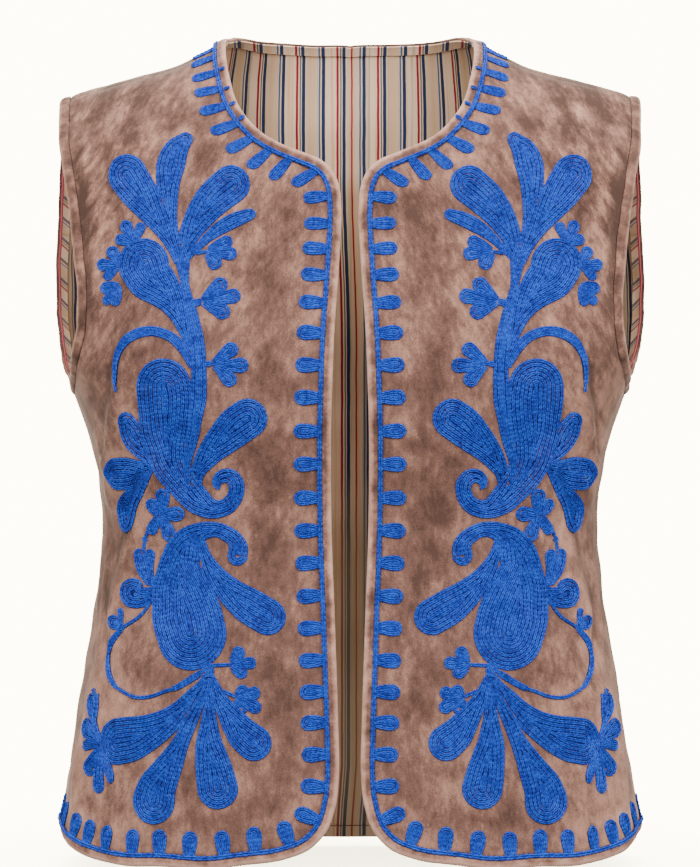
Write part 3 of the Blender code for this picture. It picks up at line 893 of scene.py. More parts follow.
def striped_finish(name, fade=1.0, bias=False):
    """Striped cotton, its stripes across the first direction of the cloth's own marks."""
    material, dye, shader = new_finish(
        name, Roughness=0.9, Sheen_Weight=0.1, Specular_IOR_Level=0.1
    )
    marks = dye.node("ShaderNodeUVMap", uv_map="cloth")
    aside, height = dye.part(marks, 0), dye.part(marks, 1)
    aside = aside + (dye.noise(marks, *WARP) - 0.5) * WARP_PLAY
    if bias:
        aside = aside + height * BIAS_SLANT
    else:
        for start, end, by in STRIPE_BENDS:
            bend = dye.ramp(height, start, end, 0.0, by, interpolation_type="SMOOTHSTEP")
            aside = aside + bend
    within = dye.math("FRACT", (aside - STRIPE_START) / STRIPE_REPEAT) * STRIPE_REPEAT
    drawn_out = dye.stretched(marks, DRAWN_OUT)
    threads, slubs = dye.noise(drawn_out, *THREADS), dye.noise(drawn_out, *SLUBS)
    ground = {0: slubs * 0.55 + threads * 0.45}
    colour = dye.node("ShaderNodeValToRGB", ground, stops=GROUND_STOPS)
    middle, half = SAND_GROUND
    off_ground = abs(within - middle)
    colour = dye.mixed(dye.ramp(off_ground, half, half + 0.001, 0.45, 0.0), colour, CLOTH_SAND)
    colour = dye.mixed((off_ground < PEACH_HALF) * 0.45, colour, CLOTH_PEACH)
    for middle, width, tint in STRIPES:
        away = abs(within - middle - WOVEN_IN)
        if not middle:
            away = dye.math("MINIMUM", away, STRIPE_REPEAT - within)
        colour = striped(dye, colour, away, width, tint, fade)
    if bias:
        colour = dye.mixed(dye.ramp(height, *EDGE_RED_ENDS, 1.0, 0.0), colour, EDGE_RED)
    else:
        middle, width = SEAM_RED
        colour = striped(dye, colour, abs(aside - middle), width, STRIPES[0][2])
    colour = dye.mixed(0.45, colour, dye.mixed(threads, THREAD_GREY, (1, 1, 1)), "MULTIPLY")
    if not bias:
        # Painted shade inside: below the back neck and towards the sides, easing off lower down.
        painted_shade = dye.ramp(height, *PAINTED_SHADE_BELOW_NECK) + dye.ramp(abs(aside), *PAINTED_SHADE_ASIDE)
        painted_shade = painted_shade - dye.ramp(height, *PAINTED_SHADE_EASED_LOW)
        colour = dye.mixed(painted_shade, colour, PAINTED_SHADE_TINT, "MULTIPLY")
        # Painted light, palest at one height low down, where the back shows between the fronts.
        colour = dye.mixed(dye.ramp(abs(height - PAINTED_LIGHT_Z), *PAINTED_LIGHT_REACH), colour, PAINTED_LIGHT_TINT)
    relief = threads + dye.noise(marks, *WEAVE) * 0.4
    feed(shader, Base_Color=colour, Normal=dye.bump(0.3, 0.0004, relief))
    return material


def cloth_marks(places):
    """Distance from the centre line and height of each place, which the stripes follow."""
    points = form(places[..., 0], places[..., 1])
    middle = np.argmin(np.abs(places[0, :, 0]))
    run = run_of(points[..., :2])
    run += points[:, middle : middle + 1, 0] - run[:, middle : middle + 1]
    if middle:
        low = np.clip((points[..., 2] - LEAN_Z) / LEAN_HEIGHT, 0, 1)
        for end, edge in zip((0, -1), EDGE_STRIPES):
            whole = run[:, end, None]
            share = np.clip((run / whole - LEAN_FROM) / LEAN_SPAN, 0, 1)
            run = run + low * share**2 * (3 - 2 * share) * (edge - whole)
    return np.stack([run, points[..., 2]], axis=-1)


lining = striped_finish("striped_lining")
for panel, shaped in shapes.items():
    node, shaped, turned = f"lining_{panel}", shaped[::2], panel == "front_right"
    marks = mirrored(cloth_marks(mirrored(shaped))) if turned else cloth_marks(shaped)
    piece = add_panel(
        f"striped_{node}", shaped, -LINING_DEPTH, LINING_WALL, lining, node, marks, turned
    )
    cut_pieces[node] = piece

# The facings: strips of the striped cotton turned in over the seam allowance of the back neck, the
# hem and the armholes. Round the armholes they are cut on the bias, with the stripes across them.
FACING_WALL = 0.0008
FACING_DEPTH = LINING_DEPTH + LINING_WALL + CLEARANCE
FACING_WIDTH, ARMHOLE_FACING_WIDTH = 0.008, 0.009


def facing_section(width):
    """Round a flat strip, as (distance from the cut edge, out from the form)."""
    across = np.linspace(0.0005, width, 5)
    out = -FACING_DEPTH - FACING_WALL
    return [(d, -FACING_DEPTH) for d in across] + [(d, out) for d in across[::-1]]


facing = striped_finish("striped_facing")
bias = striped_finish("striped_bias_facing", fade=0.8, bias=True)


def points_and_corners(mesh):
    """A mesh's points, and which of them each corner of its faces stands on."""
    points, corners = np.empty(3 * len(mesh.vertices)), np.empty(len(mesh.loops), int)
    mesh.vertices.foreach_get("co", points)
    mesh.loops.foreach_get("vertex_index", corners)
    return points.reshape(-1, 3), corners


def crossing_marks(piece):
    """Turns a strip's marks to distance from the centre line and height, to match the lining."""
    points, corners = points_and_corners(piece.data)
    marks = points[:, [0, 2]][corners]
    piece.data.uv_layers["cloth"].data.foreach_set("uv", marks.ravel())


section = facing_section(FACING_WIDTH)
for name, line_at in (("neck", neck_line), ("hem", hem_line)):
    node = f"facing_back_{name}"
    piece = add_strip(f"striped_{node}", line_at, section, facing, node, pucker=False)
    crossing_marks(piece)
    cut_pieces[node] = piece
section = facing_section(ARMHOLE_FACING_WIDTH)
for side, turned in SIDES:
    node = f"facing_armhole_{side}"
    piece = add_strip(f"striped_{node}", armhole_line, section, bias, node, True, turned, False)
    cut_pieces[node] = piece

# The border: chain stitch in blue cotton, worked in one pass along the inner side of the bands, as
# a stem with a round-ended tongue at every 15 to 25 mm. It runs over the shoulders round the back
# neck and round the hem.
ROW = 0.0027  # width of one row of chain stitch
LINK = 0.0029
STEM_ROW, STEM_LINK = 0.0034, 0.0034
STEM_IN = 0.0074  # from the cut edge to the middle of the stem
NECK_TONGUE = (0.0043, 0.0182)  # half-width, reach from the middle of the stem
FRONT_TONGUE = (0.0052, 0.0172)
SLIM_TONGUES, SLIM_TONGUE = 0.25, 0.0043  # down to there they widen from this half-width
NECK_TONGUES = (0.0025, 0.0180, 0.0350, 0.0505, 0.0655, 0.0810, 0.0955, 0.1100, 0.1245, 0.1440)
FRONT_TONGUES = (
    0.1640, 0.1825, 0.1995, 0.2170, 0.2355, 0.2555, 0.2765, 0.2975, 0.3195, 0.3415, 0.3640,
    0.3855, 0.4065, 0.4280, 0.4490, 0.4700, 0.4905, 0.5105, 0.5310, 0.5525, 0.5750, 0.6005,
    0.6235, 0.6440, 0.6675, 0.6880, 0.7075, 0.7285, 0.7460, 0.7605, 0.7805, 0.7995,
)  # distances along the stem, front edge and hem
NECK_LEAN = ((0.0, 0.09), (0.08, 0.32))  # lean back to the shoulder per unit of reach, by distance
BACK_NECK_PITCH = 0.0155
BACK_HEM_PITCH = 0.0205
STRAND_RING = ((1, -0.1), (0, 1), (-1, -0.1))  # round a strand, in thicknesses aside and up
STRAND_AT = (-0.30, 0.08, 0.46, 0.86, 1.24)  # shares of a link
STRAND_ASIDE = (0.14, 0.56, 0.70, 0.54, 0.14)  # in parts, FULL_ASIDE to half a row's width
FULL_ASIDE = 0.8
STRAND_UP = (0.00020, 0.00064, 0.00078, 0.00072, 0.00034)
STRAND_THICK = (0.0, 0.00054, 0.00058, 0.00055, 0.0)
BED_TOP, BED_RISE = 0.00030, 0.00018
BAND_LIFT = 0.0006  # how far the stem stands out over the band's inner edge
STITCH_PLAY = 0.08  # how uneven hand work is
SHORTEST_ROW = 0.8  # links
BED_SHARE = 0.48  # of a row's width
BED_INSIDE, THIN_BED = 0.45 * ROW, 0.0003  # in from a tongue's edge, and its least half-width
INTO_STEPS, AHEAD_STEPS = 6, 3  # in which a tongue is laid out from its root
FINE_STEP = 0.0008  # from point to point along a drawn line
TONGUE_STATIONS, TONGUE_ROOT = 24, 0.62  # half-width at a tongue's root, as a share of the widest
PAIRED_FROM, SINGLE_FROM = 0.25, -0.4  # room for a pair of rows and for one, in rows
LOOK_ACROSS, LOOK_DOWN = 2e-3, 5e-4  # how far off the cloth's slope is read
WORN_THREAD, STITCHES, PLIES = (150.0, 2.0, 0.6), (480.0, 1.0), (1700.0, 1.0)
THREAD_BLUE = (0.0170, 0.054, 0.39)
THREAD_DEEP = (0.0105, 0.024, 0.23)
THREAD_BRIGHT = (0.0195, 0.092, 0.49)
# The bed of thread between the strands is painted in shade with these darker blues.
BED_DARK, BED_DEEP = (0.004, 0.006, 0.050), (0.004, 0.010, 0.110)
CATCH_WIDTH, CATCH_LINK, CATCH_LIFT = 0.0028, 0.0048, 0.0012
CATCH_STITCHES = (0.0345, 0.0505, 0.0655, 0.0800)  # short stitches out over the neck band
CATCH_REACH, CATCH_STEP = (0.0018, 0.0042, 0.0066), 0.001  # out from the stem


def resampled(line, step):
    """A line of points or places at even steps."""
    line = np.asarray(line, float)
    run = run_of(line)
    at = np.linspace(0, run[-1], max(2, int(round(run[-1] / step)) + 1))
    return read_at(at, run, line.T)


def stretches(mask):
    """Where each unbroken stretch of a mask starts, and where the next place after it is."""
    edges = np.flatnonzero(np.diff(np.concatenate([[0], mask, [0]])))
    return zip(edges[::2], edges[1::2])


def spine_ways(spine):
    """The way ahead along a flat line and the way to its left, at each of its points."""
    ahead = unit(np.gradient(spine, axis=0))
    return ahead, np.stack([-ahead[:, 1], ahead[:, 0]], axis=-1)


def offset_rows(middle, half, round_head=True, round_start=False):
    """Rows that follow an outline inward, as flat lines, from its spine and half-widths.

    Each row runs up one side, round the head and down the other side, and where a pair meets on
    the narrowing spine it runs on as one row until the next pair outside it has closed too.
    """
    ahead, aside = spine_ways(middle)
    rows = []

    def turned_end(at, reach, forward):
        count = max(5, int(reach * np.pi / FINE_STEP))
        angle = np.linspace(0, np.pi, count)[1:-1, None]
        turn = np.cos(angle) * aside[at] + np.sin(angle) * ahead[at]
        return middle[at] + reach * forward * turn

    for j in range(int(np.ceil(half.max() / ROW))):
        reach = half - (j + 0.5) * ROW
        paired = reach >= PAIRED_FROM * ROW
        for a, b in stretches(paired):
            up = (middle + aside * reach[:, None])[a:b]
            back = (middle - aside * reach[:, None])[a:b][::-1]
            head = start = ()
            if b == len(middle) and round_head:
                head = (turned_end(b - 1, reach[b - 1], 1),)
            if a == 0 and round_start:
                start = (turned_end(a, reach[a], -1),)
            if head:
                rows.append(np.concatenate([up, *head, back, *start, up[: len(start)]]))
            elif start:
                rows.append(np.concatenate([back, *start, up]))
            elif b - a > 1:
                rows.extend([up, back])
        for a, b in stretches((reach > SINGLE_FROM * ROW) & ~paired):
            if b - a > 1:
                line = middle[max(a - 2, 0) : b + 2]
                if b == len(middle) and round_head:
                    line = np.vstack([line, line[-1] + ahead[-1] * max(half[-1] - ROW, 0)])
                rows.append(line)
    return rows


def laid(line, lift):
    """Points and normals of the cloth along a line of places."""
    across, down = line.T
    by_across = surface(across + LOOK_ACROSS, down) - surface(across - LOOK_ACROSS, down)
    by_down = surface(across, down + LOOK_DOWN) - surface(across, down - LOOK_DOWN)
    return surface(across, down, lift), unit(np.cross(by_down, by_across))


def strands(middle, aside, up, thick):
    """Closed three-sided strands through middle points, pointed at both ends."""
    count, stations = middle.shape[:2]
    inner = [
        middle[:, k, None] + thick[:, k, None, None] * np.stack(
            [a * aside[:, k] + u * up[:, k] for a, u in STRAND_RING], axis=1
        )
        for k in range(1, stations - 1)
    ]
    points = np.concatenate([middle[:, :1], *inner, middle[:, -1:]], axis=1)
    size = points.shape[1]
    tips, quads = [], []
    for s in range(3):
        t = (s + 1) % 3
        tips += [(0, 1 + t, 1 + s), (size - 1, size - 4 + s, size - 4 + t)]
        for k in range(stations - 3):
            a = 1 + 3 * k
            quads.append((a + s, a + t, a + 3 + t, a + 3 + s))
    start = (np.arange(count) * size)[:, None, None]
    faces = [(np.array(group) + start).reshape(-1, len(group[0])) for group in (quads, tips)]
    return points.reshape(-1, 3), faces


def bed_strand(p, t, n, half):
    """The flat bed of thread along a line, from its points, tangents, normals and half-widths."""
    up = n * BED_TOP / half[:, None]
    return strands((p + n * BED_RISE)[None], unit(np.cross(n, t))[None], up[None], half[None])


def chain_stitch(lines, width=ROW, link=LINK, lift=0.0, turned=False, laid_under=()):
    """Rows of chain stitch along lines of places: two strands to each link, on a bed of thread.

    Laid under are the spines of filled leaves as (line of places, half-widths, whether painted in
    shade), each covered by a flat bed of thread that shows where the rows part.
    """
    lines = [mirrored(line) if turned else line for line in lines if len(line) > 1]
    ends = np.cumsum([len(line) for line in lines])[:-1]
    points, normals = (np.split(a, ends) for a in laid(np.concatenate(lines), lift))
    chosen, bed, play = [], [], np.random.default_rng(5)
    share = np.array(STRAND_AT)
    for p, n in zip(points, normals):
        run = run_of(p)
        if run[-1] < SHORTEST_ROW * link:
            continue
        t = np.gradient(p, run, axis=0)
        links = max(1, int(round(run[-1] / link)))
        at = np.clip((np.arange(links)[:, None] + share) * run[-1] / links, 0, run[-1])
        ridge = np.linspace(0, run[-1], max(links, 3) + 1)
        for where, kept in ((at, chosen), (ridge, bed)):
            kept.append([read_at(where, run, a.T) for a in (p, t, n)])
    middle, tangent, up = (np.concatenate([c[k] for c in chosen]) for k in range(3))
    aside = unit(np.cross(up, tangent))
    size = width / ROW
    loose = 1 + STITCH_PLAY * play.standard_normal((len(middle), 1, 1))
    half = (width / 2 - STRAND_THICK[2] * size) * np.array(STRAND_ASIDE)[:, None] / FULL_ASIDE
    height = np.array(STRAND_UP)[:, None] * size
    thick = np.array(STRAND_THICK) * size * loose[..., 0]
    made = []  # strands and whether they take the painted shade colour
    for flank in (1, -1):
        centre = middle + aside * half * flank * loose + up * height * (2 - loose)
        made.append((strands(centre, aside, up, thick), False))
    # The bed under the rows is painted in shade, as the gaps between the strands would be.
    for p, t, n in bed:
        made.append((bed_strand(p, t, n, np.full(len(p), width * BED_SHARE)), True))
    for line, half, dark in laid_under:
        p, n = laid(mirrored(line) if turned else line, lift)
        made.append((bed_strand(p, np.gradient(p, axis=0), n, half), dark))
    first, faces, shaded = 0, ([], []), ([], [])
    for (p, groups), dark in made:
        for kept, shades, group in zip(faces, shaded, groups):
            kept.append(group + first)
            shades.append(np.full(len(group), dark))
        first += len(p)
    points = np.concatenate([p for (p, _), _ in made])
    return points, *([np.concatenate(group) for group in kind] for kind in (faces, shaded))


def embroider(name, panel, lines, **work):
    """Chain stitch on a panel as a piece, its bed between the strands painted in shade."""
    points, faces, shaded = chain_stitch(lines, **work)
    piece = add_piece(name, points, faces, thread, under=(deep_thread, shaded))
    embroidery[panel].append(piece)


def tongue_lines(stem, distances, half, reach, lean=0.0):
    """The rows of tongues that stand on a stem, as lines of places, and their covered spines."""
    run = along(stem)
    ways = stem, unit(np.gradient(form(*stem.T), axis=0)), inward(stem)
    spine = np.linspace(FINE_STEP, reach - half, TONGUE_STATIONS)
    swell = np.sin(np.pi / 2 * np.linspace(0, 1, TONGUE_STATIONS) ** 0.8)
    wide = half * (TONGUE_ROOT + (1 - TONGUE_ROOT) * swell)
    flat = offset_rows(np.stack([0 * spine, spine], axis=-1), wide)
    under = np.concatenate([spine[::4], spine[-1:] + (0, 0.5 * half)])
    flat.append(np.stack([0 * under, under], axis=-1))
    covered = np.maximum(wide[::4] - BED_INSIDE, THIN_BED)
    covered = np.append(covered, (half - BED_INSIDE, THIN_BED))
    lines, spines = [], []
    for distance in distances:
        root, ahead, into = (read_at(distance, run, way.T) for way in ways)
        for k, row in enumerate(flat):
            row = resampled(row, FINE_STEP) if k < len(flat) - 1 else row
            places = np.repeat(root[None], len(row), axis=0)
            for _ in range(INTO_STEPS):
                places = stepped(places, (into - ahead * lean) * row[:, 1:] / INTO_STEPS)
            for _ in range(AHEAD_STEPS):
                places = stepped(places, ahead * row[:, :1] / AHEAD_STEPS + 1e-12)
            lines.append(places)
        spines.append((lines.pop(), covered, False))
    return lines, spines


def cotton_finish(name, deep, middle, bright):
    """Twisted cotton thread, worn lighter and darker, with its plies."""
    material, dye, shader = new_finish(
        name, Roughness=0.6, Sheen_Weight=0.03, Specular_IOR_Level=0.1
    )
    at = dye.node("ShaderNodeTexCoord", take=3)
    tone_shift, stitches, plies = (dye.noise(at, *noise) for noise in (WORN_THREAD, STITCHES, PLIES))
    tone = tone_shift * 0.32 + stitches * 0.40 + plies * 0.28
    stops = ((0.40, deep), (0.50, middle), (0.61, bright))
    colour = dye.node("ShaderNodeValToRGB", {0: tone}, stops=stops)
    feed(shader, Base_Color=colour, Normal=dye.bump(0.4, 0.0002, plies))
    return material


thread = cotton_finish("blue_cotton_thread", THREAD_DEEP, THREAD_BLUE, THREAD_BRIGHT)
# The bed's material: darker blues painted as shade between the strands.
deep_thread = cotton_finish("shaded_blue_thread", BED_DARK, BED_DEEP, THREAD_DEEP)
front_stem = front_line(STEM_IN)
widths = (SLIM_TONGUE, FRONT_TONGUE[0])
worked = [(at, *NECK_TONGUE, np.interp(at, *NECK_LEAN)) for at in NECK_TONGUES]
for at in FRONT_TONGUES:
    half = np.interp(at, (FRONT_TONGUES[0], SLIM_TONGUES), widths)
    worked.append((at, half, FRONT_TONGUE[1], 0.0))
tongues, tongue_spines = [], []
for at, *shape in worked:
    lines, spines = tongue_lines(front_stem, (at,), *shape)
    tongues, tongue_spines = tongues + lines, tongue_spines + spines
catches = []
for distance in CATCH_STITCHES:
    spot = int(np.searchsorted(along(front_stem), distance))
    over_band = [front_line(STEM_IN - out)[spot] for out in CATCH_REACH]
    catches.append(resampled(over_band, CATCH_STEP))
embroidery = {panel: [] for panel in shapes}
for side, turned in SIDES:
    panel = f"front_{side}"
    embroider(
        f"catch_stitches_{side}", panel, catches, width=CATCH_WIDTH, link=CATCH_LINK,
        lift=CATCH_LIFT, turned=turned,
    )
    embroider(
        f"border_stem_{side}", panel, [front_stem], width=STEM_ROW, link=STEM_LINK,
        lift=BAND_LIFT, turned=turned,
    )
    embroider(
        f"border_tongues_{side}", panel, tongues, turned=turned, laid_under=tongue_spines
    )
for name, line, pitch, shape in (
    ("neck", neck_line(STEM_IN), BACK_NECK_PITCH, NECK_TONGUE),
    ("hem", hem_line(STEM_IN)[::-1], BACK_HEM_PITCH, FRONT_TONGUE),
):
    whole = along(line)[-1]
    count = int(whole / 2 / pitch - 0.75)
    spots = whole / 2 + np.arange(-count, count + 1) * pitch
    lines, spines = tongue_lines(line, spots, *shape)
    embroider(
        f"border_stem_back_{name}", "back", [line], width=STEM_ROW, link=STEM_LINK, lift=BAND_LIFT
    )
    embroider(f"border_tongues_back_{name}", "back", lines, laid_under=spines)

# The sprays on the fronts: drops, curls and three-lobed leaves filled with rows of the same chain
# stitch that follow their outlines inward. Each is given as it is seen from the front on a drawing
# plane: millimetres from the centre, below the neck points, and half of its width there, from root
# to head. A leaf that is named first lies over the later ones.
DRAWN_FROM = 2.4075  # the drawing plane's distance from the eye
DROP, BAND, CURL = (True, False), (False, False), (True, True)  # round head, round start
ROW_STEP = 0.0007
SHORTEST_CUT_ROW = 1.2  # links
LEAF_BED_INSIDE, LEAF_CUT_INSIDE = 0.4 * ROW, 0.3 * ROW  # in from a leaf's edge
THINNEST_BED, WIDEST_BED, THINNEST_LEAF, THINNEST_CUT = 0.0002, 0.0024, 0.0004, 0.0001
TIP_SHARE = 0.6  # how far the bed runs on into a round head
WIDE_LEAF = 0.0056  # the bed of thread is painted in shade from this half-width on
RIM_AWAY, RIM_WIDTH, RIM_LIGHT = 0.0030, 0.0035, 0.055  # painted highlight on the nap round the stitching, where the puffed velvet catches light
FIELD_FROM, FIELD_TO, FIELD_DARK = 0.006, 0.016, 0.020  # and painted shade on the nap away from it
CREST, CREST_LIGHT, CREST_SHADE = 0.0022, 0.075, 0.11  # painted highlight on a crease's crest and painted shade beyond it
CREST_TO_SHADE = 0.034
FAR_ASIDE = 0.998  # how far across a drawn point may come to lie
UPPER_SPRAY = (
    (BAND, (110, 143, 2.5), (109, 152, 4.8), (108, 161, 3.6), (107, 169, 2.8), (104, 182, 3.6),
     (101, 195, 4.2), (99, 208, 4.9), (98, 221, 4.9), (98, 234, 5.2), (98.5, 244, 5.2),
     (100, 254, 4.6), (101.5, 263.5, 4.2), (103.5, 273, 3.9), (105.5, 283, 2.9),
     (105.5, 292.5, 2.2), (103.5, 302.5, 1.5)),
    (DROP, (108, 151.5, 3.5), (105.5, 139, 6.2), (100.5, 128.5, 8.6), (94, 119, 10.6),
     (86.5, 111, 12), (77.5, 103.5, 12.5)),
    (DROP, (111, 158, 1.6), (116, 143, 3.9), (122, 132, 5.9), (128.5, 121.5, 8.8),
     (136, 110, 11.7), (144.5, 97.5, 13)),
    (DROP, (112, 143, 2), (116, 128, 3.9), (118, 114, 6.2), (118, 102, 7.8), (116.5, 91, 9.3),
     (113, 81.5, 8.1), (107, 74.5, 5)),
    (DROP, (104.5, 151.5, 1.5), (99, 144.5, 2.4), (92.5, 138, 3.3), (85.5, 132.5, 4.5),
     (78.5, 128.5, 5), (72, 125.5, 4.8), (65, 123, 4)),
    (DROP, (103.5, 211.5, 2), (107, 199.5, 3.9), (111, 188.5, 6.2), (116, 179, 9.4),
     (123, 170.5, 13), (130, 163.5, 15.6), (134, 155.5, 16.6)),
    # three-lobed leaves on short stalks, towards the front edge
    (BAND, (101, 148.5, 1.8), (97, 147.5, 2), (93, 147, 1.6)),
    (DROP, (94, 147, 1.6), (85.5, 148, 3.3), (78, 148.5, 4.7)),
    (DROP, (94, 147, 1.6), (87, 143.5, 3.3), (80.5, 141, 4.6)),
    (DROP, (94, 147, 1.6), (88, 154, 5.2)),
    (BAND, (102.5, 181.5, 2.4), (99, 180, 2.6), (95.5, 179.5, 2)),
    (DROP, (96.5, 179.5, 2), (87, 178, 3.6), (76, 176, 5.2)),
    (DROP, (96.5, 179.5, 2), (90.5, 173.5, 3.6), (84.5, 168.5, 5.2)),
    (DROP, (96.5, 179.5, 2), (90, 183, 3.6), (83, 186, 5.5)),
    (BAND, (95, 220.5, 2), (92, 220, 2.2), (88, 220, 1.8)),
    (DROP, (89, 220, 2), (80.5, 221, 3.6), (71, 221, 5.3)),
    (DROP, (89, 220, 2), (83.5, 215.5, 3.6), (77.5, 211, 5.2)),
    (DROP, (89, 220, 2), (84, 224.5, 3.6), (78.5, 230, 5.2)),
    # and towards the side
    (DROP, (140, 142, 1.6), (142.5, 136.5, 2.9), (145, 131, 4.4)),
    (DROP, (140, 142, 1.4), (138, 136.5, 2.6), (136, 131.5, 3.6)),
    (DROP, (140, 142, 1.4), (144.5, 141, 2.9), (148.5, 139.5, 4.2)),
    (DROP, (149, 155.5, 1.6), (155, 156, 3.3), (159.5, 156, 4.4)),
    (DROP, (149, 155.5, 1.6), (151.5, 152, 2.9), (153.5, 148, 4.4)),
    (DROP, (149, 155.5, 1.4), (153.5, 159.5, 2.6), (157, 163, 3.3)),
    (DROP, (150, 168, 1.6), (154.5, 169.5, 3.3), (158, 171, 4.2)),
    (DROP, (150, 168, 1.6), (151, 174, 3.3), (152, 179, 3.6)),
    (DROP, (150, 168, 1.6), (154.5, 174.5, 2.9), (157.5, 179, 3.1)),
    # the long curl, the great curled drop, its side drop and the three leaves by the side seam
    (BAND, (102.5, 222, 2), (109, 209.5, 3.3), (115.5, 203, 3.3), (122, 200, 3.3),
     (130, 199, 3.4), (137, 200.5, 3.6), (144.5, 205.5, 3.3), (149, 212.5, 2.8),
     (150.5, 221, 2.4), (150, 229.5, 1.8), (148.5, 237, 1)),
    (DROP, (85, 301.5, 1.6), (86.5, 298, 2.9), (84, 293.5, 4.3), (78, 293, 4.9),
     (74, 297.5, 5.2), (74, 304, 5.2), (79, 312, 5.5), (88.5, 314.5, 6.2), (98, 309.5, 8.8),
     (105.5, 301.5, 9.8), (111.5, 292.5, 10.4), (116, 283, 11.4), (118, 273, 13),
     (119, 263.5, 15.2), (119, 253.5, 16.4), (119, 244, 17), (119.5, 234.5, 16.6)),
    (DROP, (96, 305.5, 2), (99, 299, 3.3), (98.5, 290.5, 4.6), (94.5, 283, 6.8),
     (88.5, 275, 9.1), (81, 267.5, 11.4), (73, 260, 13), (66.5, 255.5, 13)),
    (DROP, (127, 284, 2), (132.5, 275.5, 5.2), (137, 268, 6.5), (140, 261, 6.2),
     (142, 256, 4.9)),
    (DROP, (126, 285, 2), (130, 287, 4.6), (134.5, 288.5, 7.5), (141, 290, 10.7),
     (148, 290.5, 11)),
    (DROP, (126.5, 287, 1.6), (131, 294, 3.5), (136, 302.5, 5.2), (140.5, 310, 6.7),
     (142.5, 316, 7.1), (143, 321, 6.2)),
)
